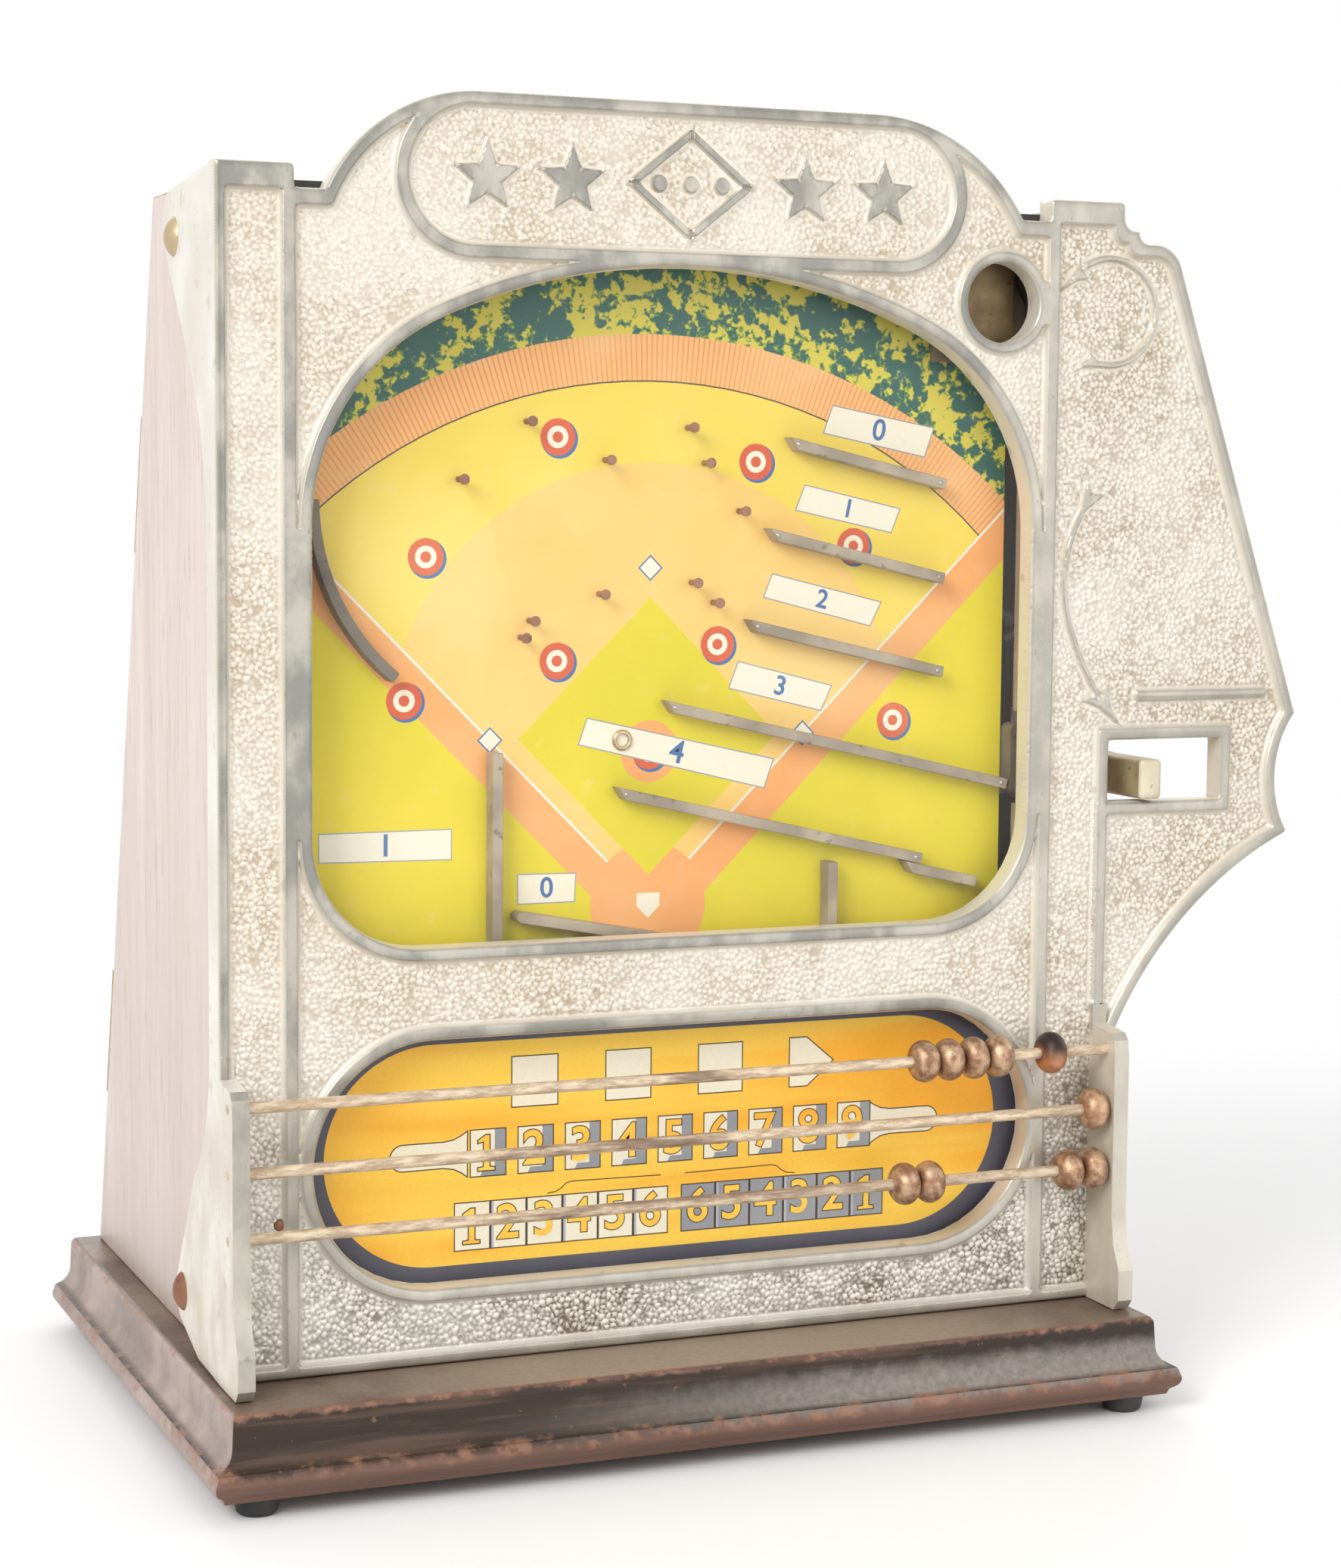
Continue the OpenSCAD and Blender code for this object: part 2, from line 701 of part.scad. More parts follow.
// Dome-headed screws through the flanges into the side panels
module flange_screws() {
  head_r = 5.3;
  head_h = 2.6;
  dome = (head_r ^ 2 + head_h ^ 2) / (2 * head_h);
  color(brass) at_face() both_sides() for (s = screw_spots) translate([half_w, s[0], s[1]]) rotate([0, 90, 0]) union() {
    intersection() {
      translate([0, 0, head_h - dome]) sphere(r = dome, $fn = 64);
      cylinder(r = head_r, h = head_h + 1);
    }
    translate([0, 0, panel_out - 10 - half_w]) cylinder(r = screw_r, h = half_w - panel_out + 10 + 0.4);
  }
}

// Playfield

module window_glass() {
  color("#cfe0df", 0.35) at_face() plate(glass_y, glass_t)
    translate([-middle_shift, 0]) polygon(window_points(glass_lap));
}

// Wooden strips that hold the glass against the casting and wall the play space
module side_strips() {
  z0 = field_z0 + 4;
  z1 = coin_z - coin_d / 2 - 9;
  color(dark_wood) at_face() {
    block(-panel_in, strip_w - panel_in, gap_y, sheet_y, z0, z1);
    block(panel_in - strip_w, panel_in, gap_y, sheet_y, z0, slot_z0);
    block(panel_in - strip_w, panel_in, gap_y, sheet_y, slot_z1, z1);
  }
}

// Places of the field pins, as distances right of the middle and above the sill
pin_spots = [
  [-42, 138], [-61, 122.5], [-19.5, 128], [4.5, 137], [9.5, 127.5], [20, 114.5],
  [6, 95], [12.5, 89.5], [-21, 92], [-41, 85], [-43.5, 80.5]
];

module pin_holes(r, depth) {
  for (p = pin_spots) y_bar(p[0], window_sill + p[1], r, sheet_y - cut, sheet_y + depth);
}

module field_2d() {
  translate([-panel_in, field_z0]) square([panel_in + field_r, top_z - field_z0]);
}

module playfield_board() {
  color(bare_wood) at_face() difference() {
    plate(board_y, board_t) field_2d();
    pin_holes(pin_d / 2 + hole_play, sheet_t + pin_bite);
  }
}

module playfield_sheet() {
  color(paper) at_face() difference() {
    plate(sheet_y, sheet_t) field_2d();
    pin_holes(pin_d / 2 + hole_play, sheet_t + cut);
  }
}

module field_pins() {
  color(brass) at_face() for (p = pin_spots) {
    y_bar(p[0], window_sill + p[1], pin_d / 2, rail_y + 0.4, sheet_y + sheet_t + pin_bite - 0.1);
    y_bar(p[0], window_sill + p[1], pin_head_d / 2, rail_y, rail_y + 0.8);
  }
}

module pocket_eyelet() {
  color(brass) at_face() translate([-14, sheet_y, window_sill + 52.2]) rotate([90, 0, 0]) rotate_extrude()
    polygon([[1.7, 0], [2.9, 0], [2.9, 0.4], [2.4, 0.9], [1.9, 0.9], [1.7, 0.6]]);
}

// A straight rail that ends at the right in x, z and runs up to the left, its left end cut on a slant
module shelf(x, z, length) {
  color(tarnished) at_face() plate(rail_y, rail_d) translate([x, z]) rotate(-shelf_slope)
    polygon([[0, -rail_t / 2], [0, rail_t / 2], [-length, rail_t / 2], [rail_t - length, -rail_t / 2]]);
}

module upper_shelf_rail() { shelf(shelf_x, shelf_z + 2 * shelf_pitch, shelf_len); }
module middle_shelf_rail() { shelf(shelf_x, shelf_z + shelf_pitch, shelf_len + shelf_grow); }
module lower_shelf_rail() { shelf(shelf_x, shelf_z, shelf_len + 2 * shelf_grow); }
module launch_rail() { shelf(field_r - 0.4, launch_z, launch_len); }
module return_rail() { shelf(shelf_x - 5.8, launch_z - 20.4, return_len); }
module step_rail() { shelf(shelf_x + 11.7, launch_z - 27.7, 23.5); }

module divider(x, height) {
  color(tarnished) at_face() plate(rail_y, rail_d) translate([x - rail_t / 2, window_sill - 3.5])
    square([rail_t, height]);
}

module left_divider() { divider(-left_divider_x, left_divider_h); }
module right_divider() { divider(right_divider_x, right_divider_h); }

module round_end_rail() {
  start = [7 - left_divider_x, window_sill + 1.8 * rail_t];
  color(tarnished) at_face() plate(rail_y, rail_d) translate(start) rotate(-round_rail_slope) {
    circle(r = rail_t / 2);
    translate([0, -rail_t / 2]) square([round_rail_len, rail_t]);
  }
}

module curved_deflector() {
  c = [deflector_r - window_hw + 2.1, spring_z + 7.5];
  end = 180 + deflector_turn;
  color(tarnished) at_face() plate(rail_y, rail_d) polygon(concat(
    arc(c, deflector_r + rail_t / 2, 180, end),
    arc(c, deflector_r - rail_t / 2, end, 180)
  ));
}

module coin_plate() {
  color(tarnished) at_face() plate(sheet_y - 1.6, 1.6)
    translate([coin_x - coin_d / 2 - 4, coin_z - coin_d / 2 - 5])
      square([field_r - coin_x + coin_d / 2 + 5, coin_d + 9]);
}

// Score card

module score_card() {
  color(card_paper) at_face() plate(card_y, card_t)
    translate([-score_hw - card_lap, score_sill - card_lap])
      square([2 * (score_hw + card_lap), score_h + 2 * card_lap]);
}

module score_backer() {
  color(bare_wood) at_face()
    block(-panel_in, panel_in, card_y + card_t, board_back, 0, field_z0 - 1);
}

// Battens behind the boards: one under the top board, one across the joint of the two boards
module board_battens() {
  color(bare_wood) at_face() {
    block(-panel_in, panel_in - 25.5, board_back, board_back + batten_t, top_z - 12.5, top_z);
    block(-panel_in, panel_in, board_back, board_back + batten_t, batten_z, batten_z + 24.5);
  }
}

// Lever and bat

// An angle plate on the right side panel that carries the pivot stud behind the lever arm
module pivot_bracket() {
  t = 3;
  z0 = pivot[1] - 13;
  z1 = pivot[1] + 13;
  color(steel) at_face() difference() {
    union() {
      block(pivot[0] - hub_d / 2, panel_in, bracket_y, bracket_y + t, z0, z1);
      block(panel_in - t, panel_in, bracket_y, bracket_y + 18, z0, z1);
    }
    y_bar(pivot[0], pivot[1], stud_d / 2 - 1 + hole_play, bracket_y - cut, bracket_y + t + cut);
  }
}

module pivot_stud() {
  color(steel) at_face() {
    y_bar(pivot[0], pivot[1], stud_d / 2 - 1, bracket_y - 0.2, bracket_y + 4.5);
    y_bar(pivot[0], pivot[1], stud_d / 2, arm_y - 1.2, bracket_y);
    y_bar(pivot[0], pivot[1], stud_d / 2 + 2, arm_y - 2.2, arm_y - 1.1);
  }
}

// A straight bar with round ends between two points
module bar_2d(a, b, w) {
  d = b - a;
  translate(a) circle(d = w);
  translate(b) circle(d = w);
  translate(a) rotate(atan2(d[1], d[0])) translate([0, -w / 2]) square([norm(d), w]);
}

module lever_arm() {
  color(steel) at_face() difference() {
    union() {
      plate(arm_y, arm_t) {
        bar_2d(elbow, pivot, arm_w);
        translate([elbow[0] - arm_w / 2, finger_z]) square([finger_x + finger_w - elbow[0] + arm_w / 2, finger_h]);
      }
      y_bar(pivot[0], pivot[1], hub_d / 2, arm_y - 0.8, arm_y + arm_t + 1);
      y_bar(arm_at_spring[0], arm_at_spring[1], 1.5, arm_y + 1, spring_y + 3);
    }
    y_bar(pivot[0], pivot[1], stud_d / 2 + stud_play, arm_y - 2, arm_y + arm_t + 2);
    y_bar(bat_x, foot_cz, 1.6 + hole_play, arm_y - cut, arm_y + arm_t + cut);
  }
}

// The bar that the player pulls, with a rounded front end
module finger_bar() {
  r = 1.4;
  color("#d9cfb2") at_face() translate([0, 0, finger_z]) linear_extrude(finger_h)
    polygon(concat(
      [[finger_x + finger_w, arm_y], [finger_x, arm_y]],
      arc([finger_x + r, r - finger_reach], r, 180, 270, 5),
      arc([finger_x + finger_w - r, r - finger_reach], r, 270, 360, 5)
    ));
}

// The bat: a paddle in the play space on a stem from the lever arm
module bat() {
  paddle_y1 = sheet_y + sheet_t;
  color(steel) at_face() {
    plate(rail_y, paddle_y1 - rail_y)
      bar_2d([bat_x, bat_z0 + bat_w / 2], [bat_x, bat_z0 + bat_h - bat_w / 2], bat_w);
    y_bar(bat_x, foot_cz, bat_w / 2, paddle_y1 - 0.5, arm_y);
    y_bar(bat_x, foot_cz, 1.6, arm_y - 0.5, arm_y + arm_t + 1);
  }
}

// A rubber bumper that the lever arm comes to rest on
module arm_stop() {
  r = 5;
  at = elbow + arm_dir * 30 + [-arm_dir[1], arm_dir[0]] * (arm_w / 2 + r + 0.3);
  color(rubber) at_face() y_bar(at[0], at[1], r, board_back, arm_y + arm_t);
}

module spring_post() {
  color(steel) at_face()
    y_bar(arm_at_spring[0] - spring_span, arm_at_spring[1], 2, board_back, spring_y + 3);
}

// The spring's centre line: straight ends on the axis and curls that open out from it
spring_x0 = arm_at_spring[0] - spring_span + 2 + 0.3;
spring_x1 = arm_at_spring[0] - 1.5 - 0.3;
spring_rings = 8 * spring_curls;
function spring_radius(i) =
  (spring_d - wire_d) / 2 * min(1, i / 6, (spring_rings - i) / 6);
function spring_point(i) =
  let (a = 360 * i / 8, r = spring_radius(i))
  [spring_x0 + 2 * wire_d + (spring_x1 - spring_x0 - 4 * wire_d) * i / spring_rings, r * sin(a), r * cos(a)];
spring_line = concat(
  [[spring_x0, 0, 0], [spring_x0 + wire_d, 0, 0]],
  [for (i = [0:spring_rings]) spring_point(i)],
  [[spring_x1 - wire_d, 0, 0], [spring_x1, 0, 0]]
);
spring_gap = min([
  for (i = [8:spring_rings - 8]) for (j = [i + 6:min(i + 10, spring_rings - 8)])
    norm(spring_point(j) - spring_point(i))
]) - wire_d;

function unit(v) = v / norm(v);

// One unbroken tube of six sides along a line of points
module tube(line, r) {
  n = len(line);
  sides = 6;
  up = [0, 0.24, 1];
  points = [
    for (i = [0:n - 1])
      let (
        d = unit(line[min(i + 1, n - 1)] - line[max(i - 1, 0)]),
        e = unit(cross(d, up)),
        f = cross(e, d)
      )
      for (k = [0:sides - 1]) line[i] + r * (cos(60 * k) * e + sin(60 * k) * f)
  ];
  walls = [
    for (i = [0:n - 2]) for (k = [0:sides - 1])
      let (a = i * sides + k, b = i * sides + (k + 1) % sides)
      each [[a, b, b + sides], [a, b + sides, a + sides]]
  ];
  ends = [
    for (k = [1:sides - 2]) each [[0, k + 1, k], [(n - 1) * sides, (n - 1) * sides + k, (n - 1) * sides + k + 1]]
  ];
  polyhedron(points = points, faces = concat(walls, ends));
}

module return_spring() {
  echo(spring_least_gap_mm = spring_gap);
  color(steel) at_face() translate([0, spring_y, arm_at_spring[1]]) tube(spring_line, wire_d / 2);
}

// Score rods and beads

module score_rod(i) {
  color(tarnished) at_face() x_bar(-rod_stand, rod_z + i * rod_pitch, rod_d / 2, -half_w, half_w);
}

module top_score_rod() { score_rod(2); }
module middle_score_rod() { score_rod(1); }
module bottom_score_rod() { score_rod(0); }

module bead(x, row) {
  r = bead_w / 2;
  color(bronze) at_face() translate([x, -rod_stand, rod_z + row * rod_pitch]) rotate([0, 90, 0])
    rotate_extrude() intersection() {
      translate([bead_d / 2 - r, 0]) circle(r = r);
      translate([rod_d / 2 + bead_play, -r]) square([bead_d, bead_w]);
    }
}

module run_bead_1() { bead(runs_x, 2); }
module run_bead_2() { bead(runs_x + bead_pitch, 2); }
module run_bead_3() { bead(runs_x + 2 * bead_pitch, 2); }
module run_bead_4() { bead(runs_x + 3 * bead_pitch, 2); }
module run_bead_5() { bead(last_run_x, 2); }
module inning_bead() { bead(end_bead_x, 1); }
module score_bead_1() { bead(pair_x, 0); }
module score_bead_2() { bead(pair_x + bead_pitch, 0); }
module score_bead_3() { bead(end_bead_x - bead_pitch, 0); }
module score_bead_4() { bead(end_bead_x, 0); }

// Back door

module door_stops() {
  color(bare_wood) at_face() on_back() both_sides()
    block(panel_in - stop_w, panel_in, -door_t - stop_gap - stop_t, -door_t - stop_gap, door_z0 + 5, door_z1 - 6);
}

module back_door() {
  color(mahogany) at_face() on_back() difference() {
    block(-door_hw, door_hw, -door_t, 0, door_z0, door_z1);
    y_bar(lock_x, lock_z, lock_d / 2 + hole_play, -door_t - cut, cut);
  }
}

// A knuckle tube and its stretch of leaf, on the side given by the leaf's far edge
module hinge_part(far_x, near_x, z0, z1) {
  translate([-panel_in, knuckle_y, z0]) cylinder(r = knuckle_r, h = z1 - z0);
  block(min(far_x, near_x), max(far_x, near_x), 0.2, 0.2 + leaf_t, z0, z1);
}

module hinge_bores() {
  for (z = hinge_zs) translate([-panel_in, knuckle_y, z - cut])
    cylinder(r = hinge_pin_r + hinge_play, h = hinge_len + 2 * cut);
}

knuckle_gap = 0.3;

module hinge_fixed_leaves() {
  third = hinge_len / 3;
  color(brass) at_face() on_back() difference() {
    for (z = hinge_zs) {
      hinge_part(-panel_out, -panel_in, z, z + third - knuckle_gap);
      hinge_part(-panel_out, -panel_in, z + 2 * third + knuckle_gap, z + hinge_len);
      block(-panel_out, -panel_in - knuckle_r - 0.5, 0.2, 0.2 + leaf_t, z, z + hinge_len);
    }
    hinge_bores();
  }
}

module hinge_door_leaves() {
  third = hinge_len / 3;
  color(brass) at_face() on_back() difference() {
    for (z = hinge_zs) {
      hinge_part(panel_t - panel_in, -panel_in, z + third, z + 2 * third);
      block(knuckle_r + 0.5 - panel_in, panel_t - panel_in, 0.2, 0.2 + leaf_t, z, z + hinge_len);
    }
    hinge_bores();
  }
}

module hinge_pins() {
  color(steel) at_face() on_back() for (z = hinge_zs) translate([-panel_in, knuckle_y, z - 0.6]) {
    cylinder(r = hinge_pin_r, h = hinge_len + 1.2);
    translate([0, 0, hinge_len + 1]) cylinder(r = knuckle_r - 0.3, h = 1);
  }
}

module lock_barrel() {
  keyway = [1.4, 7];
  color(brass) at_face() on_back() difference() {
    union() {
      y_bar(lock_x, lock_z, lock_d / 2, cam_y + cam_t + 0.3, 0.5);
      y_bar(lock_x, lock_z, lock_d / 2 + 2, 0.1, 2);
    }
    block(lock_x - keyway[0] / 2, lock_x + keyway[0] / 2, -4, 2 + cut, lock_z - keyway[1] / 2, lock_z + keyway[1] / 2);
    y_bar(lock_x, lock_z, 2 + hole_play, cam_y, cam_y + cam_t + 5);
  }
}

module lock_cam() {
  color(steel) at_face() on_back() difference() {
    plate(cam_y, cam_t) bar_2d([lock_x, lock_z], [lock_x, lock_z - cam_len + 5], 10);
    y_bar(lock_x, lock_z, 2 + hole_play, cam_y - cut, cam_y + cam_t + cut);
  }
}

module cam_screw() {
  color(steel) at_face() on_back() {
    y_bar(lock_x, lock_z, 2, cam_y - 0.2, cam_y + cam_t + 4);
    y_bar(lock_x, lock_z, 3.6, cam_y - 2, cam_y);
  }
}

base_plinth();
rubber_feet();
foot_screws();
left_side_panel();
right_side_panel();
top_board();
front_casting();
flange_screws();
window_glass();
side_strips();
playfield_board();
playfield_sheet();
field_pins();
pocket_eyelet();
upper_shelf_rail();
middle_shelf_rail();
lower_shelf_rail();
launch_rail();
return_rail();
step_rail();
left_divider();
right_divider();
round_end_rail();
curved_deflector();
coin_plate();
score_card();
score_backer();
board_battens();
pivot_bracket();
pivot_stud();
arm_stop();
spring_post();
return_spring();
lever_arm();
finger_bar();
bat();
top_score_rod();
middle_score_rod();
bottom_score_rod();
run_bead_1();
run_bead_2();
run_bead_3();
run_bead_4();
run_bead_5();
inning_bead();
score_bead_1();
score_bead_2();
score_bead_3();
score_bead_4();
door_stops();
hinge_fixed_leaves();
hinge_pins();
back_door();
hinge_door_leaves();
lock_barrel();
lock_cam();
cam_screw();
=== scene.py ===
"""Looks of a countertop arcade baseball game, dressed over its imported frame.

Sizes are in millimetres in the front's own frame (X across from the middle of the face, Y back from
the front of its ribs, Z up from the top of the base) until a mesh is made. Meshes are in metres in
the part's frame.
"""

import json
import logging
import math
from dataclasses import dataclass, field
from enum import Enum
from typing import Callable, Iterable, Optional, Sequence

import bmesh
import bpy
import numpy as np
from mathutils import Matrix, Vector
from mathutils.bvhtree import BVHTree
from mathutils.geometry import delaunay_2d_cdt
from mathutils.kdtree import KDTree
from numpy.typing import ArrayLike

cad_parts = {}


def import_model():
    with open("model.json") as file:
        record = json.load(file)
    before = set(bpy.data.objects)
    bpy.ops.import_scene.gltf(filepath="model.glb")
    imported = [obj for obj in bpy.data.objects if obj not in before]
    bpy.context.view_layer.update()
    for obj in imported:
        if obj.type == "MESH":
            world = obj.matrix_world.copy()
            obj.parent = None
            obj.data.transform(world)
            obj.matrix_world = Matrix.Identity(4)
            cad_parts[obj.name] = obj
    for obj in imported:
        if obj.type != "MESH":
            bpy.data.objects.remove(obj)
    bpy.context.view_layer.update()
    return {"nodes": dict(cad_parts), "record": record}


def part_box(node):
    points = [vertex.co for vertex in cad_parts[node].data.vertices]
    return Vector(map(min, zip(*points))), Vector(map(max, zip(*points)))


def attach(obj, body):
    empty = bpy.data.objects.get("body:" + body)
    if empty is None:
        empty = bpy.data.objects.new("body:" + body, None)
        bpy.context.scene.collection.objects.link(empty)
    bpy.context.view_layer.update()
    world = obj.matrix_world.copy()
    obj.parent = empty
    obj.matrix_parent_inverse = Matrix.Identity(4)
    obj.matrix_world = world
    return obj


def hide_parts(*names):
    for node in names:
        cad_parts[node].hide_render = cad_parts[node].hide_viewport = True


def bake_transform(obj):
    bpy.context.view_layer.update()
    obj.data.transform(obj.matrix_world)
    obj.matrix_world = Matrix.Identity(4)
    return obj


LOG = logging.getLogger("baseball_game")
SEED = 41
# Metres in a millimetre, the casting's thickness, and the depth that stands for a place outside its front
MM = 0.001
CASTING_T = 7.0
OUTSIDE = 99.0
# Degrees between faces of one flat, between faces whose edge is rounded, and at an outline's true corners
FLAT_ANGLE = 0.5
EDGE_ANGLE = 32.0
CORNER_ANGLE = 36.0

Triple = tuple[float, float, float]
Colour = Triple
Point = tuple[float, float]
Array = np.ndarray
Node = bpy.types.Node
Outputs = bpy.types.bpy_prop_collection
Piece = bpy.types.Object
Socket = bpy.types.NodeSocket
Tree = bpy.types.NodeTree


class Body(str, Enum):
    """The bodies of the frame that more than one piece rides on."""

    CABINET = "cabinet"
    LEVER = "lever"


class Ink(Enum):
    """The inks of the two prints."""

    LIME = "lime"
    YELLOW = "yellow"
    ORANGE = "orange"
    SAND = "sand"
    CREAM = "cream"
    RED = "red"
    BLUE = "blue"
    NAVY = "navy"
    LINE = "line"
    AMBER = "amber"
    LILAC = "lilac"
    SLATE = "slate"
    HEDGE = "hedge"
    FENCE = "fence"


# Shader trees


class Shader:
    """A short way to write a shader tree."""

    def __init__(self, tree: Tree) -> None:
        """Takes the tree that the nodes go into."""
        self.tree = tree

    def add(self, kind: str, **settings: object) -> Node:
        """Adds a node.

        Args:
            kind: The node's type, without the leading ShaderNode.
            settings: The node's own settings.

        Returns:
            The new node.
        """
        node = self.tree.nodes.new("ShaderNode" + kind)
        for key, value in settings.items():
            setattr(node, key, value)
        return node

    def put(self, socket: Socket, value: object) -> None:
        """Links an output to a socket, or sets the socket's plain value.

        Args:
            socket: The socket.
            value: The output, or the value.
        """
        if isinstance(value, Socket):
            self.tree.links.new(value, socket)
        elif isinstance(value, tuple) and len(value) == 3 and socket.type == "RGBA":
            socket.default_value = (*value, 1.0)
        else:
            socket.default_value = value

    def fill(self, node: Node, **inputs: object) -> None:
        """Puts values into a node's inputs, which are named with _ for each space."""
        for key, value in inputs.items():
            self.put(node.inputs[key.replace("_", " ")], value)

    def coords(self) -> Socket:
        """Object coordinates."""
        return self.add("TexCoord").outputs["Object"]

    def parts(self, vector: Socket) -> Outputs:
        """A vector's X, Y and Z, by name."""
        node = self.add("SeparateXYZ")
        self.put(node.inputs[0], vector)
        return node.outputs

    def facing(self) -> Outputs:
        """The X, Y and Z of the surface's normal, by name."""
        return self.parts(self.add("NewGeometry").outputs["Normal"])

    def mapped(self, vector: Socket, scale: Triple) -> Socket:
        """Coordinates, stretched along each axis."""
        node = self.add("Mapping")
        self.fill(node, Vector=vector, Scale=scale)
        return node.outputs["Vector"]

    def noise(self, vector: Socket, scale: object, detail: float = 3.0, rough: float = 0.55) -> Socket:
        """Noise from 0 to 1.

        Args:
            vector: The coordinates.
            scale: The noise's scale, per metre.
            detail: Its octaves.
            rough: How strong the finer octaves are.

        Returns:
            The noise.
        """
        node = self.add("TexNoise")
        self.fill(node, Vector=vector, Scale=scale, Detail=detail, Roughness=rough)
        return node.outputs[0]

    def ramp(self, value: object, low: float, high: float) -> Socket:
        """A smooth step from 0 to 1.

        Args:
            value: The value.
            low: The value at 0.
            high: The value at 1, which may be the smaller one.

        Returns:
            The step.
        """
        node = self.add("MapRange", interpolation_type="SMOOTHSTEP")
        self.fill(node, Value=value, From_Min=low, From_Max=high)
        return node.outputs["Result"]

    def math(self, operation: str, a: object, b: object = 0.5, clamp: bool = False) -> Socket:
        """One step of arithmetic.

        Args:
            operation: Blender's name for it.
            a: The first value.
            b: The second value.
            clamp: Whether the result stays from 0 to 1.

        Returns:
            The result.
        """
        node = self.add("Math", operation=operation, use_clamp=clamp)
        self.put(node.inputs[0], a)
        self.put(node.inputs[1], b)
        return node.outputs[0]

    def times(self, a: object, b: object, clamp: bool = False) -> Socket:
        """The product of two values."""
        return self.math("MULTIPLY", a, b, clamp)

    def scaled(self, value: object, factor: object, offset: object) -> Socket:
        """A value times a factor, plus an offset."""
        return self.math("ADD", self.times(value, factor), offset)

    def mix(self, share: object, a: object, b: object, blend: str = "MIX") -> Socket:
        """A mix of two colours.

        Args:
            share: The second colour's share.
            a: The first colour.
            b: The second colour.
            blend: Blender's name for the way of mixing.

        Returns:
            The mixed colour.
        """
        node = self.add("Mix", data_type="RGBA", blend_type=blend)
        self.put(node.inputs[0], share)
        self.put(node.inputs[6], a)
        self.put(node.inputs[7], b)
        return node.outputs[2]

    def attribute(self, name: str) -> Socket:
        """A number that the mesh carries at each point."""
        return self.add("Attribute", attribute_name=name).outputs["Fac"]

    def bump(self, height: object, strength: float, distance: float) -> Socket:
        """A normal from a height.

        Args:
            height: The height, from 0 to 1.
            strength: How much of it shows.
            distance: The height of 1, in metres.

        Returns:
            The normal.
        """
        node = self.add("Bump")
        self.fill(node, Strength=strength, Distance=distance, Height=height)
        return node.outputs["Normal"]

    def group(self, tree: Tree, **inputs: object) -> Outputs:
        """Places a node group with its inputs filled, and returns its outputs."""
        node = self.add("Group", node_tree=tree)
        self.fill(node, **inputs)
        return node.outputs


class Groups:
    """The shader node groups that more than one finish uses, each built once."""

    @staticmethod
    def _start(name: str, inputs: dict[str, str], outputs: dict[str, str]) -> tuple[Tree, bool]:
        """Finds a group or starts it.

        Args:
            name: The group's name.
            inputs: Name to kind of each input.
            outputs: Name to kind of each output.

        Returns:
            The group's tree, and whether it is new.
        """
        tree = bpy.data.node_groups.get(name)
        if tree:
            return tree, False
        tree = bpy.data.node_groups.new(name, "ShaderNodeTree")
        for way, sockets in (("INPUT", inputs), ("OUTPUT", outputs)):
            for socket, kind in sockets.items():
                tree.interface.new_socket(name=socket, in_out=way, socket_type="NodeSocket" + kind)
        return tree, True

    @classmethod
    def mottle(cls) -> Tree:
        """Broad and fine uneven tone, and small dark specks."""
        tree, new = cls._start(
            "mottle",
            {"Vector": "Vector", "Scale": "Float"},
            {"Broad": "Float", "Fine": "Float", "Specks": "Float"},
        )
        if new:
            s = Shader(tree)
            given = tree.nodes.new("NodeGroupInput").outputs
            where, scale = given["Vector"], given["Scale"]
            broad = s.noise(where, scale, 4.0)
            specks = s.noise(where, s.times(scale, 6.0), 2.0, 0.4)
            s.fill(
                tree.nodes.new("NodeGroupOutput"),
                Broad=s.ramp(broad, 0.36, 0.66),
                Fine=s.noise(where, s.times(scale, 14.0), 3.0),
                Specks=s.ramp(specks, 0.66, 0.74),
            )
        return tree

    @classmethod
    def wood_grain(cls) -> Tree:
        """Long streaks and pores along the stretched axis of the coordinates."""
        tree, new = cls._start("wood_grain", {"Vector": "Vector"}, {"Streaks": "Float", "Pores": "Float"})
        if new:
            s = Shader(tree)
            where = tree.nodes.new("NodeGroupInput").outputs["Vector"]
            wide, thin = s.noise(where, 1.0, 5.0, 0.62), s.noise(where, 5.2, 4.0, 0.6)
            streaks = s.math("ADD", s.times(wide, 0.65), s.times(thin, 0.35))
            pores = s.ramp(s.noise(where, 16.0, 2.0, 0.5), 0.6, 0.72)
            s.fill(tree.nodes.new("NodeGroupOutput"), Streaks=s.ramp(streaks, 0.34, 0.66), Pores=pores)
        return tree

    @classmethod
    def paper_age(cls) -> Tree:
        """An ink's colour, sun-faded in clouds and grained as print on paper is."""
        tree, new = cls._start(
            "paper_age", {"Vector": "Vector", "Ink": "Color", "Faded": "Color"}, {"Color": "Color"}
        )
        if new:
            s = Shader(tree)
            given = tree.nodes.new("NodeGroupInput").outputs
            clouds, grain = s.noise(given["Vector"], 16.0, 4.0), s.noise(given["Vector"], 1500.0, 2.0)
            faded = s.mix(s.ramp(clouds, 0.4, 0.72), given["Ink"], given["Faded"])
            shade = s.scaled(grain, 0.16, 0.92)
            grey = s.add("CombineColor")
            s.fill(grey, Red=shade, Green=shade, Blue=shade)
            s.fill(tree.nodes.new("NodeGroupOutput"), Color=s.mix(1.0, faded, grey.outputs[0], "MULTIPLY"))
        return tree


def node_of(tree: Tree, kind: str) -> Node:
    """A tree's node of a kind."""
    return next(n for n in tree.nodes if n.type == kind)


def toned(colour: Colour, factor: float) -> Colour:
    """A colour made lighter or darker by a factor."""
    return tuple(factor * c for c in colour)


# Finishes


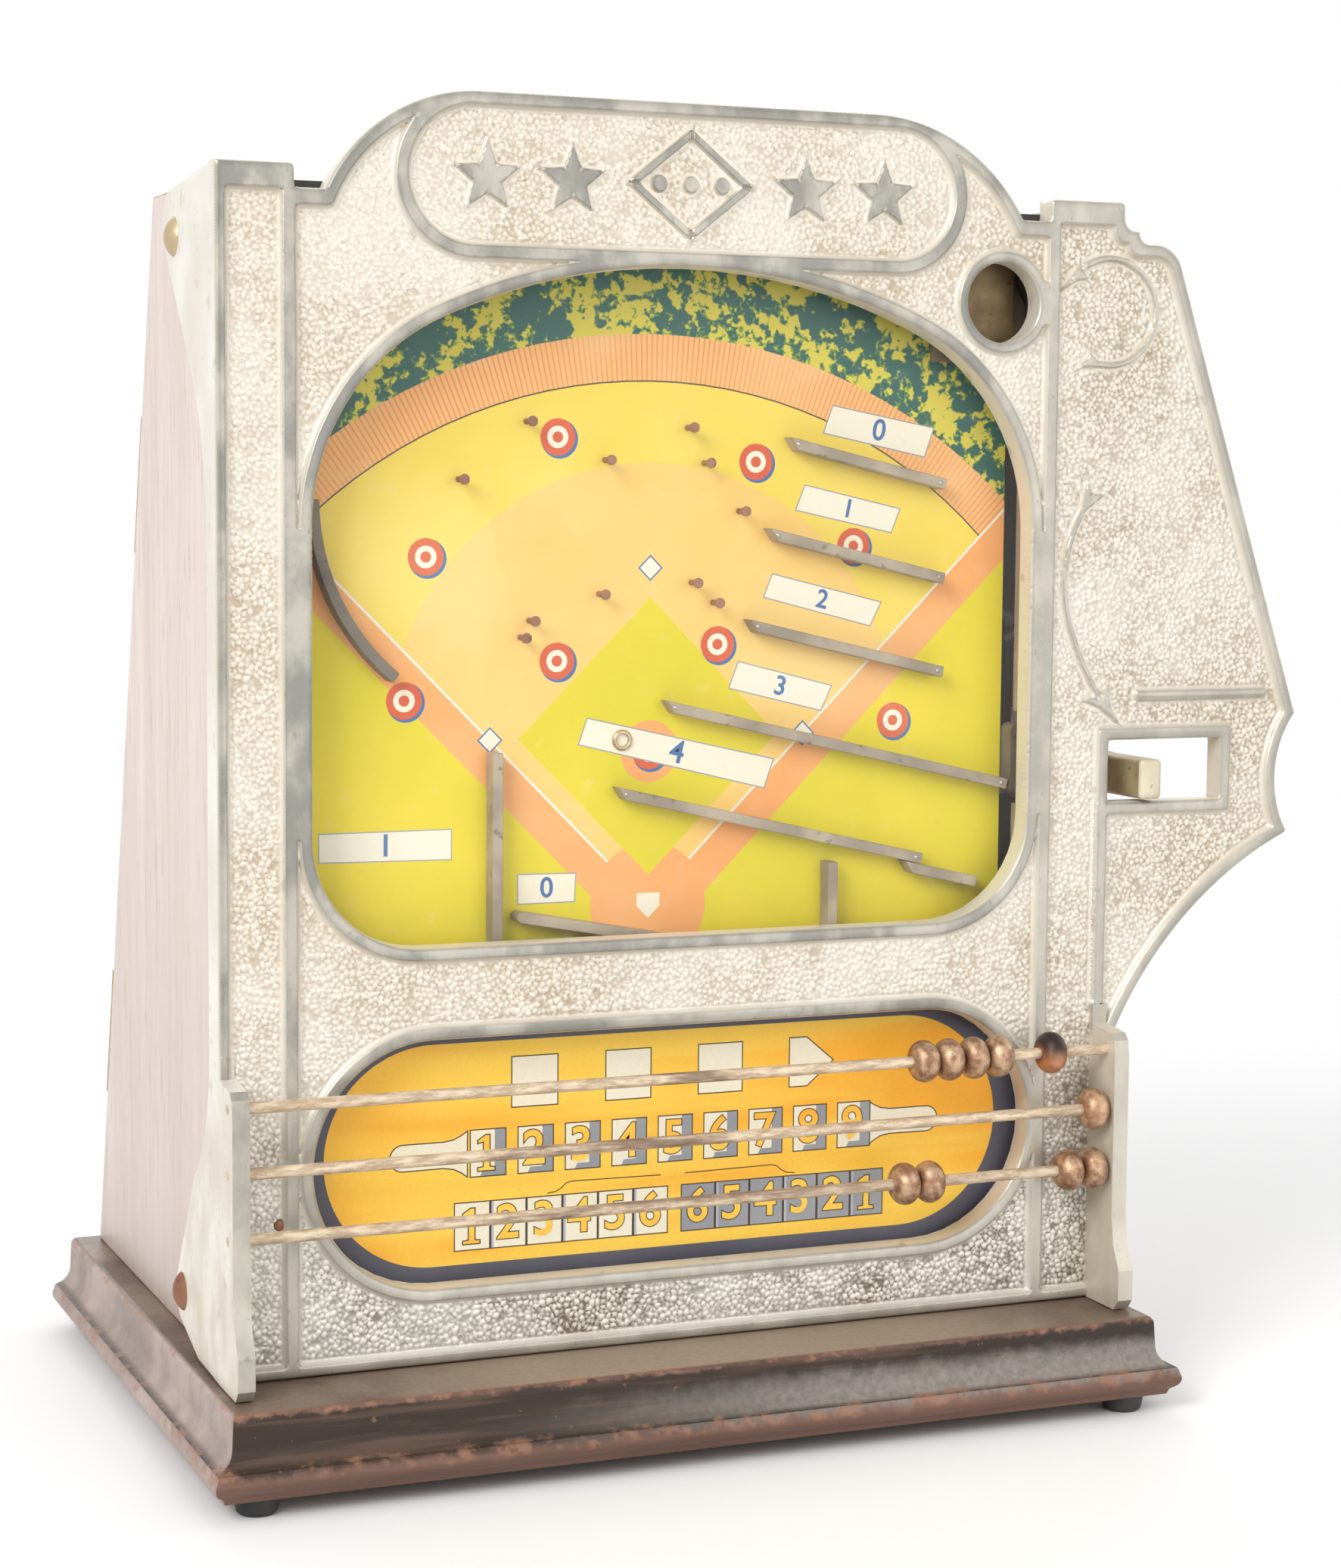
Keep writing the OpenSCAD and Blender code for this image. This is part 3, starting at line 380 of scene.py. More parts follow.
@dataclass(frozen=True)
class Finish:
    """A surface: its name, and the material that it becomes."""

    name: str

    def paint(self, s: Shader, surface: Node) -> None:
        """Sets the Principled shader's sockets.

        Args:
            s: The material's tree.
            surface: The Principled shader.
        """

    def material(self) -> bpy.types.Material:
        """The material, made at its first use."""
        found = bpy.data.materials.get(self.name)
        if found:
            return found
        made = bpy.data.materials.new(self.name)
        made.use_nodes = True
        self.paint(Shader(made.node_tree), node_of(made.node_tree, "BSDF_PRINCIPLED"))
        return made

    @staticmethod
    def tone(s: Shader, where: Socket, scale: float) -> Outputs:
        """The surface's uneven tones, by name."""
        return s.group(Groups.mottle(), Vector=where, Scale=scale)

    @staticmethod
    def aged(s: Shader, where: Socket, ink: object, faded: object) -> Socket:
        """The colour of an ink that has aged."""
        return s.group(Groups.paper_age(), Vector=where, Ink=ink, Faded=faded)["Color"]


@dataclass(frozen=True)
class CastFinish(Finish):
    """Weathered cast aluminium: pale panels with brown patina and painted shade in the hollows, and ribs worn
    to bare grey.
    """

    cream: Colour = (0.74, 0.70, 0.61)
    silver: Colour = (0.78, 0.755, 0.69)
    hollow: Colour = (0.36, 0.265, 0.165)
    # Near black of the hollows low down and to the right: grime, with painted shade.
    soot: Colour = (0.10, 0.085, 0.068)
    bare: Colour = (0.235, 0.23, 0.205)
    # Pale rib tone: polish, and towards the right painted light.
    polished: Colour = (0.58, 0.54, 0.455)
    stain: Colour = (0.52, 0.46, 0.34)
    yellowed: Colour = (0.62, 0.47, 0.29)
    pitted: Colour = (0.2, 0.17, 0.13)
    stained: float = 0.0

    def paint(self, s: Shader, surface: Node) -> None:
        """Mixes the tones by the relief and the rib mask that the mesh carries, with painted shade in the
        hollows, most towards the bottom and the right, and painted light on the ribs towards the right.
        """
        where = s.coords()
        tone = self.tone(s, where, 26.0)
        small = self.tone(s, s.mapped(where, (1.0, 1.0, 0.6)), 90.0)
        rib = s.attribute("rib")
        spot = s.parts(where)
        # Towards the bottom and the right: the hollows take painted shade and the ribs painted light.
        low = s.math("SUBTRACT", 1.0, s.ramp(spot["Z"], 0.05, 0.14))
        right = s.ramp(spot["X"], 0.055, 0.09)
        low_right = s.math("MAXIMUM", low, s.times(right, 0.25))
        panel = s.mix(s.times(low, 0.8), self.cream, self.silver)
        hollow = s.mix(low_right, self.hollow, self.soot)
        # Mask of the hollows: brown patina, deepened by painted shade of the pebbles.
        dirt_and_shade = s.ramp(s.attribute("relief"), 0.62, 0.12)
        share = s.math("ADD", s.times(tone["Broad"], 0.55), s.scaled(low_right, 0.24, 0.3))
        panel = s.mix(s.times(dirt_and_shade, share, True), panel, hollow)
        panel = s.mix(s.times(tone["Broad"], 0.14), panel, self.yellowed)
        panel = s.mix(s.times(tone["Specks"], 0.35), panel, hollow)
        if self.stained:
            blots = s.math("ADD", s.times(small["Broad"], low_right), s.times(small["Specks"], 0.8), True)
            panel = s.mix(s.times(blots, self.stained), panel, self.stain)
        bare = s.mix(s.times(small["Broad"], 0.55), self.bare, self.polished)
        # Ribs paler towards the bottom and the right: polish, with painted light to the right.
        bare = s.mix(s.math("ADD", s.times(low, 0.4), s.times(right, 0.4), True), bare, self.polished)
        bare = s.mix(s.times(small["Specks"], 0.4), bare, self.pitted)
        s.fill(
            surface,
            Base_Color=s.mix(rib, panel, bare),
            Metallic=s.scaled(rib, 0.2, 0.3),
            Roughness=s.scaled(small["Fine"], 0.22, 0.3),
            Normal=s.bump(small["Fine"], 0.3, 0.0002),
        )


@dataclass(frozen=True)
class WoodFinish(Finish):
    """Stained wood with grain, scuffs and worn spots, and painted shade towards the foot."""

    light: Colour
    dark: Colour
    worn: Colour
    stretch: Triple
    wear: float = 0.25
    rough: float = 0.42
    coat: float = 0.0
    # Share of painted shade towards the foot, where the base shades the wood.
    foot: float = 0.0

    def paint(self, s: Shader, surface: Node) -> None:
        """Mixes stain, pores and worn spots, darker by a share towards the foot as painted shade."""
        where = s.coords()
        grain = s.group(Groups.wood_grain(), Vector=s.mapped(where, self.stretch))
        tone = self.tone(s, where, 14.0)
        colour = s.mix(grain["Streaks"], self.dark, self.light)
        colour = s.mix(s.times(grain["Pores"], 0.5), colour, toned(self.dark, 0.4))
        colour = s.mix(s.times(tone["Broad"], 0.35), colour, self.dark)
        height = s.parts(where)["Z"]
        # Painted shade: darker towards the foot, most just above the base.
        low = s.math("ADD", s.ramp(height, 0.2, 0.06), s.ramp(height, 0.075, 0.027))
        colour = s.mix(s.times(low, self.foot, True), colour, toned(self.dark, 0.6))
        scuff = s.ramp(s.noise(where, 150.0, 5.0, 0.7), 0.72 - 0.34 * self.wear, 0.78 - 0.34 * self.wear)
        s.fill(
            surface,
            Base_Color=s.mix(s.times(scuff, min(1.0, 1.6 * self.wear + 0.1)), colour, self.worn),
            Roughness=s.scaled(tone["Fine"], 0.25, self.rough - 0.12),
            Normal=s.bump(grain["Pores"], 0.2, -0.0002),
            Coat_Weight=self.coat,
            Coat_Roughness=0.25,
        )


@dataclass(frozen=True)
class BaseFinish(Finish):
    """The base's stain: dust-brown on top with painted light, near black in the hollow of its edge, worn
    red-brown below.
    """

    top_z: float = 0.027
    # Top colour: dust, made lighter as painted light on the upward faces.
    dusty: Colour = (0.34, 0.26, 0.19)
    stained: Colour = (0.105, 0.064, 0.046)
    black: Colour = (0.034, 0.025, 0.021)
    brown: Colour = (0.12, 0.072, 0.05)
    red: Colour = (0.12, 0.066, 0.048)
    worn: Colour = (0.31, 0.16, 0.10)
    # Lighter tone of the faces turned left: painted light of the lamp on the left.
    washed: Colour = (0.50, 0.395, 0.355)
    # Lighter tone of the front hollow's lower half: painted sheen, with some dust.
    rubbed: Colour = (0.40, 0.365, 0.33)

    def paint(self, s: Shader, surface: Node) -> None:
        """Mixes the stains by height, with ragged lines between them and chips along the edges, and paints
        light on the top and the left faces and a sheen in the hollow.
        """
        where = s.coords()
        grain = s.group(Groups.wood_grain(), Vector=s.mapped(where, (4.0, 9.0, 70.0)))
        tone = self.tone(s, where, 40.0)
        spot, facing, top = s.parts(where), s.facing(), self.top_z
        ragged = s.times(s.math("SUBTRACT", s.noise(where, 130.0, 4.0, 0.65), 0.5), 0.006)
        z = s.math("ADD", spot["Z"], ragged)
        side = s.math("MAXIMUM", s.ramp(facing["Z"], 0.95, 0.8), s.ramp(z, top - 0.003, top - 0.005))
        dark = s.times(s.ramp(z, top - 0.0006, top - 0.0018), s.ramp(z, 0.0105, 0.0135))
        red = s.mix(grain["Streaks"], self.red, toned(self.red, 1.5))
        streaks = s.ramp(s.noise(s.mapped(where, (14.0, 110.0, 240.0)), 1.0, 4.0, 0.6), 0.47, 0.66)
        black = s.mix(s.times(streaks, 0.7), self.black, self.brown)
        # Painted sheen: the lower half of the front hollow is lightened, more to the right, as a reflection
        # would; partly dust.
        cove_sheen = s.times(s.ramp(z, 0.0235, 0.018), s.ramp(facing["Y"], -0.2, -0.6))
        cove_sheen = s.times(cove_sheen, s.ramp(spot["X"], -0.1, 0.03))
        black = s.mix(s.times(cove_sheen, s.scaled(tone["Fine"], 0.6, 0.25)), black, self.rubbed)
        colour = s.mix(s.times(s.times(dark, side), 0.95), red, black)
        # Upward faces near the top: dust, lighter as painted light from above, with a darker stain at the
        # ends.
        dusty = s.mix(s.times(tone["Fine"], 0.5), self.dusty, toned(self.dusty, 0.6))
        ends = s.math("MAXIMUM", s.ramp(spot["X"], -0.07, -0.135), s.ramp(spot["X"], 0.03, 0.1))
        dusty = s.mix(s.times(ends, s.scaled(tone["Broad"], 0.45, 0.5)), dusty, self.stained)
        colour = s.mix(side, dusty, colour)
        # Painted light: faces turned to the left are lightened, unevenly.
        left = s.times(s.ramp(facing["X"], -0.3, -0.7), s.scaled(tone["Broad"], 0.35, 0.5))
        colour = s.mix(left, colour, self.washed)
        chips = s.ramp(s.noise(where, 190.0, 4.0, 0.6), 0.46, 0.62)
        arris = s.times(s.ramp(z, top - 0.0022, top - 0.0008), side)
        ledge = s.times(s.ramp(z, 0.0095, 0.012), s.ramp(z, 0.0142, 0.0128))
        lines = s.math("MAXIMUM", arris, s.times(ledge, side))
        spots = s.times(s.ramp(s.noise(where, 420.0, 2.0), 0.7, 0.75), side)
        worn = s.math("MAXIMUM", s.times(lines, chips), s.times(spots, 0.6))
        s.fill(
            surface,
            Base_Color=s.mix(s.times(worn, 0.7), colour, self.worn),
            Roughness=s.scaled(tone["Fine"], 0.3, 0.28),
            Specular_IOR_Level=0.22,
            Normal=s.bump(s.noise(where, 260.0, 4.0, 0.6), 0.35, 0.0004),
        )


@dataclass(frozen=True)
class MetalFinish(Finish):
    """Dull metal with tarnish in clouds and specks."""

    base: Colour
    tarnish: Colour
    metallic: float = 0.85
    rough: float = 0.4
    cover: float = 0.6

    def paint(self, s: Shader, surface: Node) -> None:
        """Mixes clean and tarnished metal."""
        tone = self.tone(s, s.coords(), 60.0)
        colour = s.mix(s.times(tone["Broad"], self.cover), self.base, self.tarnish)
        s.fill(
            surface,
            Base_Color=s.mix(s.times(tone["Specks"], 0.6), colour, toned(self.tarnish, 0.4)),
            Metallic=self.metallic,
            Roughness=s.scaled(tone["Fine"], 0.25, self.rough - 0.1),
            Normal=s.bump(tone["Fine"], 0.2, 0.0002),
        )


@dataclass(frozen=True)
class BeadFinish(Finish):
    """Turned bronze, brown with rubbed tan patches, and burnt dark from above by a share."""

    brown: Colour = (0.27, 0.14, 0.08)
    tan: Colour = (0.62, 0.43, 0.27)
    black: Colour = (0.035, 0.022, 0.02)
    burnt: float = 0.0

    def paint(self, s: Shader, surface: Node) -> None:
        """Mixes the brown and the patches, and lays the burnt top over them."""
        tone = self.tone(s, s.coords(), 340.0)
        colour = s.mix(s.times(tone["Broad"], 0.8), self.brown, self.tan)
        colour = s.mix(s.times(tone["Specks"], 0.5), colour, self.black)
        ragged = s.math("ADD", s.facing()["Z"], s.times(tone["Fine"], 0.6))
        s.fill(
            surface,
            Base_Color=s.mix(s.times(s.ramp(ragged, -0.1, 0.7), self.burnt), colour, self.black),
            Metallic=0.55,
            Roughness=s.scaled(tone["Fine"], 0.3, 0.22),
            Normal=s.bump(tone["Fine"], 0.35, 0.0002),
        )


@dataclass(frozen=True)
class RodFinish(Finish):
    """Pale brown rods with long streaks, and darker where the beads have rubbed."""

    pale: Colour = (0.75, 0.61, 0.44)
    streak: Colour = (0.47, 0.345, 0.23)
    dark: Colour = (0.17, 0.10, 0.065)

    def paint(self, s: Shader, surface: Node) -> None:
        """Mixes streaks along X and dark patches."""
        where = s.coords()
        streaks = s.ramp(s.noise(s.mapped(where, (170.0, 640.0, 640.0)), 1.0, 4.0, 0.7), 0.36, 0.62)
        patches = s.noise(s.mapped(where, (22.0, 150.0, 150.0)), 1.0, 4.0, 0.65)
        across = s.parts(where)["X"]
        middle = s.times(s.ramp(across, -0.11, -0.07), s.ramp(across, 0.06, -0.02))
        share = s.times(s.ramp(patches, 0.46, 0.6), s.scaled(middle, 0.65, 0.15))
        s.fill(
            surface,
            Base_Color=s.mix(share, s.mix(streaks, self.streak, self.pale), self.dark),
            Metallic=0.2,
            Roughness=s.scaled(patches, 0.3, 0.35),
            Normal=s.bump(streaks, 0.4, 0.0003),
        )


@dataclass(frozen=True)
class InkFinish(Finish):
    """Aged print."""

    ink: Colour
    faded: Colour

    def paint(self, s: Shader, surface: Node) -> None:
        """Ages the ink."""
        colour = self.aged(s, s.coords(), self.ink, self.faded)
        s.fill(surface, Base_Color=colour, Roughness=0.55, Specular_IOR_Level=0.3)


@dataclass(frozen=True)
class BandFinish(InkFinish):
    """Aged print on a card that has warped in level waves, whose light and shade are painted into the ink."""

    def paint(self, s: Shader, surface: Node) -> None:
        """Paints the waves' light and shade into the ink as level bands, and ages it."""
        where = s.coords()
        # Level bands of orange and yellow: painted light and shade of the card's waves, which also bend the
        # normal.
        bands = s.noise(s.mapped(where, (5.0, 1.0, 75.0)), 1.0, 3.0, 0.5)
        ink = s.mix(s.ramp(bands, 0.36, 0.6), self.ink, self.faded)
        left = s.ramp(s.parts(where)["X"], -0.085, -0.125)
        colour = self.aged(s, where, s.mix(s.times(left, 0.6), ink, self.ink), self.faded)
        s.fill(surface, Base_Color=colour, Roughness=0.5, Normal=s.bump(bands, 0.25, 0.002))


@dataclass(frozen=True)
class HedgeFinish(Finish):
    """A printed hedge: dark leaves with lit lime clumps."""

    dark: Colour = (0.010, 0.095, 0.072)
    leaf: Colour = (0.16, 0.27, 0.03)
    lit: Colour = (0.66, 0.56, 0.05)

    def paint(self, s: Shader, surface: Node) -> None:
        """Mixes three greens by noise of two sizes."""
        where = s.coords()
        clumps, leaves = s.noise(where, 85.0, 2.0, 0.5), s.noise(where, 360.0, 3.0, 0.6)
        mass = s.math("ADD", s.times(clumps, 0.42), s.times(leaves, 0.58))
        colour = s.mix(s.ramp(mass, 0.49, 0.505), self.dark, self.leaf)
        colour = s.mix(s.ramp(mass, 0.52, 0.53), colour, self.lit)
        s.fill(surface, Base_Color=self.aged(s, where, colour, colour), Roughness=0.55)


@dataclass(frozen=True)
class FenceFinish(Finish):
    """A printed fence of narrow boards that fan out from the home plate."""

    centre: Point
    boards: float = 100.0
    plank: Colour = (0.90, 0.44, 0.14)
    joint: Colour = (0.70, 0.27, 0.07)
    faded: Colour = (0.88, 0.52, 0.22)

    def paint(self, s: Shader, surface: Node) -> None:
        """Draws a dark joint between boards by the angle round the centre."""
        where = s.coords()
        spot = s.parts(where)
        across, up = (s.math("SUBTRACT", spot[k], c) for k, c in zip("XZ", self.centre))
        turn = s.times(s.math("ARCTAN2", across, up), self.boards)
        share = s.ramp(s.math("PINGPONG", turn, 0.5), 0.2, 0.08)
        ink = s.mix(share, self.plank, self.joint)
        s.fill(surface, Base_Color=self.aged(s, where, ink, self.faded), Roughness=0.55)


@dataclass(frozen=True)
class RubberFinish(Finish):
    """Black rubber or paint with dust."""

    base: Colour = (0.02, 0.02, 0.02)
    dust: Colour = (0.1, 0.09, 0.08)

    def paint(self, s: Shader, surface: Node) -> None:
        """Adds a little dust in clouds."""
        tone = self.tone(s, s.coords(), 70.0)
        colour = s.mix(s.times(tone["Broad"], 0.25), self.base, self.dust)
        s.fill(surface, Base_Color=colour, Roughness=s.scaled(tone["Fine"], 0.2, 0.5))


@dataclass(frozen=True)
class GlassFinish(Finish):
    """Thin clear glass with a little dust."""

    tint: Colour = (0.93, 0.96, 0.95)

    def paint(self, s: Shader, surface: Node) -> None:
        """Keeps the pane nearly clear."""
        specks = self.tone(s, s.coords(), 30.0)["Specks"]
        s.fill(surface, Base_Color=self.tint, Roughness=0.04, Alpha=s.scaled(specks, 0.03, 0.02))


class Finishes:
    """All finishes of the game."""

    CAST = CastFinish("cast_aluminium_weathered")
    # The flanges' copy of the cast finish: lighter panels as painted light of the lamp on the left, with
    # stains.
    FLANGE = CastFinish(
        "cast_flange_lit_and_weathered", (0.90, 0.885, 0.835), (0.86, 0.835, 0.77), (0.52, 0.42, 0.28),
        (0.40, 0.33, 0.22), stained=0.5,
    )
    # Pale faded mahogany, lightened further as painted light of the strong lamp on the left, and darker
    # towards the foot as painted shade.
    MAHOGANY = WoodFinish(
        "mahogany_faded_and_lit", (0.79, 0.68, 0.62), (0.65, 0.52, 0.46), (0.56, 0.42, 0.36), (55.0, 55.0, 3.0),
        wear=0.15, rough=0.45, coat=0.3, foot=0.3,
    )
    BASE = BaseFinish("dark_walnut_stain")
    PANEL_EDGE = WoodFinish(
        "mahogany_worn_edge", (0.52, 0.32, 0.25), (0.36, 0.20, 0.15), (0.66, 0.48, 0.40), (60.0, 60.0, 6.0),
        wear=0.6, rough=0.5,
    )
    STRIP = WoodFinish(
        "strip_wood", (0.20, 0.11, 0.07), (0.09, 0.05, 0.035), (0.36, 0.24, 0.15), (70.0, 70.0, 5.0),
        wear=0.3, rough=0.5,
    )
    # A lighter copy of the strip wood for the right strip: painted light.
    PALE_STRIP = WoodFinish(
        "lit_strip_wood", (0.48, 0.37, 0.26), (0.28, 0.20, 0.13), (0.56, 0.45, 0.33), (70.0, 70.0, 5.0),
        wear=0.3, rough=0.5,
    )
    RAW = WoodFinish(
        "raw_board", (0.52, 0.37, 0.22), (0.36, 0.24, 0.13), (0.6, 0.46, 0.3), (4.0, 60.0, 60.0),
        wear=0.2, rough=0.6,
    )
    BLACK = RubberFinish("black_paint", (0.018, 0.016, 0.015))
    RUBBER = RubberFinish("foot_rubber")
    STEEL = MetalFinish("dull_steel", (0.42, 0.40, 0.37), (0.22, 0.13, 0.08), 0.85, 0.42, 0.4)
    NICKEL = MetalFinish("dull_nickel", (0.5, 0.48, 0.44), (0.3, 0.24, 0.17), 0.9, 0.35, 0.4)
    RAIL = MetalFinish("rubbed_rail", (0.42, 0.35, 0.255), (0.22, 0.175, 0.125), 0.15, 0.46, 0.8)
    DARK_RAIL = MetalFinish("dark_rail", (0.17, 0.14, 0.105), (0.09, 0.072, 0.053), 0.15, 0.5, 0.8)
    ROD = RodFinish("streaked_rod")
    BRASS = MetalFinish("worn_brass", (0.56, 0.44, 0.27), (0.32, 0.21, 0.10), 0.85, 0.36, 0.6)
    RUST = MetalFinish("rusty_screw", (0.34, 0.17, 0.10), (0.22, 0.09, 0.05), 0.45, 0.55, 0.8)
    BRONZE = BeadFinish("turned_bronze")
    COPPER = BeadFinish("bead_copper", (0.36, 0.19, 0.105), (0.66, 0.45, 0.28))
    BURNT = BeadFinish("bead_burnt", (0.46, 0.19, 0.09), (0.55, 0.28, 0.15), burnt=1.0)
    BAR_SIDE = MetalFinish("brown_bar_side", (0.42, 0.33, 0.19), (0.20, 0.13, 0.06), 0.3, 0.5, 0.8)
    COIN_PLATE = MetalFinish("coin_plate_brass", (0.27, 0.20, 0.10), (0.12, 0.075, 0.035), 0.55, 0.5, 0.8)
    BONE = MetalFinish("worn_cream_paint", (0.70, 0.63, 0.46), (0.36, 0.27, 0.16), 0.1, 0.42, 0.5)
    GLASS = GlassFinish("clear_glass")


INKS: dict[Ink, Finish] = {
    ink: InkFinish(f"print_{ink.value}", fresh, faded)
    for ink, fresh, faded in (
        (Ink.LIME, (0.70, 0.60, 0.015), (0.82, 0.66, 0.035)),
        (Ink.YELLOW, (0.84, 0.63, 0.075), (0.88, 0.70, 0.16)),
        (Ink.ORANGE, (0.86, 0.37, 0.11), (0.88, 0.50, 0.20)),
        (Ink.SAND, (0.90, 0.57, 0.15), (0.92, 0.65, 0.23)),
        (Ink.CREAM, (0.86, 0.80, 0.62), (0.88, 0.83, 0.68)),
        (Ink.RED, (0.66, 0.10, 0.035), (0.72, 0.17, 0.07)),
        (Ink.BLUE, (0.055, 0.14, 0.34), (0.09, 0.20, 0.40)),
        (Ink.NAVY, (0.105, 0.105, 0.135), (0.135, 0.135, 0.16)),
        (Ink.LINE, (0.06, 0.045, 0.03), (0.09, 0.07, 0.045)),
        (Ink.LILAC, (0.46, 0.46, 0.53), (0.52, 0.52, 0.57)),
        (Ink.SLATE, (0.30, 0.31, 0.34), (0.38, 0.38, 0.39)),
    )
} | {
    Ink.AMBER: BandFinish("print_amber", (0.95, 0.43, 0.02), (0.97, 0.625, 0.07)),
    Ink.HEDGE: HedgeFinish("print_hedge"),
}


# Meshes


@dataclass(frozen=True)
class FaceFrame:
    """Where the front's own frame lies in the part's frame."""

    origin: Triple

    @classmethod
    def from_cad(cls) -> "FaceFrame":
        """Reads the place from the rods, the glass and the base."""
        rod_low, rod_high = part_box("top_score_rod")
        glass_low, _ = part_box("window_glass")
        _, base_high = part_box("base_plinth")
        return cls(((rod_low.x + rod_high.x) / 2, glass_low.y - CASTING_T * MM, base_high.z))

    def to_part(self, points: ArrayLike) -> Array:
        """Face millimetres to part metres."""
        return np.asarray(points, float) * MM + np.asarray(self.origin)

    def to_face(self, points: ArrayLike) -> Array:
        """Part metres to face millimetres."""
        return (np.asarray(points, float) - np.asarray(self.origin)) / MM


def smooth(value: Array, low: float, high: float) -> Array:
    """A smooth step from 0 at low to 1 at high."""
    t = np.clip((value - low) / (high - low), 0.0, 1.0)
    return t * t * (3.0 - 2.0 * t)


def arc(centre: Point, radius: float, start: float, end: float, count: int = 24) -> list[Point]:
    """Points along an arc.

    Args:
        centre: Its centre.
        radius: Its radius.
        start: The first angle, in degrees.
        end: The last angle.
        count: The number of steps.

    Returns:
        The points, both ends included.
    """
    angles = np.radians(np.linspace(start, end, count + 1))
    return [(centre[0] + radius * math.cos(a), centre[1] + radius * math.sin(a)) for a in angles]


def disc(centre: Point, radius: float, count: int) -> list[Point]:
    """A circle's outline, of a number of points."""
    return arc(centre, radius, 0, 360 - 360 / count, count - 1)


def box(x0: float, x1: float, z0: float, z1: float) -> list[Point]:
    """A box's corners, counter-clockwise."""
    return [(x0, z0), (x1, z0), (x1, z1), (x0, z1)]


def ordered(shape: Sequence[Point]) -> list[Point]:
    """Turns a closed outline counter-clockwise.

    Args:
        shape: The outline.

    Returns:
        Its points, in order.
    """
    points = list(shape)
    turn = sum(a[0] * b[1] - a[1] * b[0] for a, b in zip(points, points[1:] + points[:1]))
    return points if turn > 0 else points[::-1]


def ribbon(line: Sequence[Point], width: float) -> list[Point]:
    """The outline of a line with a width.

    Args:
        line: The line's points.
        width: The width.

    Returns:
        The closed outline.
    """
    p = np.asarray(line, float)
    along = np.gradient(p, axis=0)
    along /= np.linalg.norm(along, axis=1)[:, None]
    side = np.stack([-along[:, 1], along[:, 0]], 1) * width / 2
    return [tuple(q) for q in np.concatenate([p + side, (p - side)[::-1]])]


def bend(start: Array, pull: Array, end: Array, count: int) -> list[Array]:
    """Points along a curve from start to end that a third point pulls on."""
    return [(1 - t) ** 2 * start + 2 * t * (1 - t) * pull + t * t * end for t in np.linspace(0, 1, count)]


def left_of(p: Array, q: Array) -> Array:
    """The unit vector to the left of the way from p to q."""
    x, z = (q - p) / np.linalg.norm(q - p)
    return np.array([-z, x])


def spot_key(spot: ArrayLike, digits: int = 2) -> Point:
    """A flat point, rounded so that ends that meet are equal."""
    return round(float(spot[0]), digits), round(float(spot[1]), digits)


def unit_normals(tris: Array) -> Array:
    """The normal of each triangle, of length 1."""
    normal = np.cross(tris[:, 1] - tris[:, 0], tris[:, 2] - tris[:, 0])
    return normal / np.maximum(np.linalg.norm(normal, axis=1), 1e-12)[:, None]


def search_tree(spots: ArrayLike) -> KDTree:
    """Builds a search tree of flat points.

    Args:
        spots: The points.

    Returns:
        The tree, which numbers them in their order.
    """
    tree = KDTree(len(spots))
    for i, (x, z) in enumerate(spots):
        tree.insert((x, z, 0.0), i)
    tree.balance()
    return tree


def distances(tree: KDTree, points: Array) -> Array:
    """How far each flat point is from the nearest point of a search tree."""
    return np.array([tree.find((x, z, 0.0))[2] for x, z in points])


def rim_of(faces: Array) -> Array:
    """The edges that only one triangle has, each in that triangle's direction."""
    ends = faces[:, [0, 1, 1, 2, 2, 0]].reshape(-1, 2)
    _, first, counts = np.unique(np.sort(ends, 1), axis=0, return_index=True, return_counts=True)
    return ends[first[counts == 1]]


def grid_faces(rows: int, count: int, wrap: bool) -> list[tuple[int, ...]]:
    """The faces between rows of points.

    Args:
        rows: The number of rows.
        count: The points of a row, which is closed on itself.
        wrap: Whether the last row is joined with the first.

    Returns:
        The faces, as indices.
    """
    faces = []
    for i in range(rows if wrap else rows - 1):
        j = (i + 1) % rows
        for k in range(count):
            m = (k + 1) % count
            faces.append((i * count + k, i * count + m, j * count + m, j * count + k))
    return faces


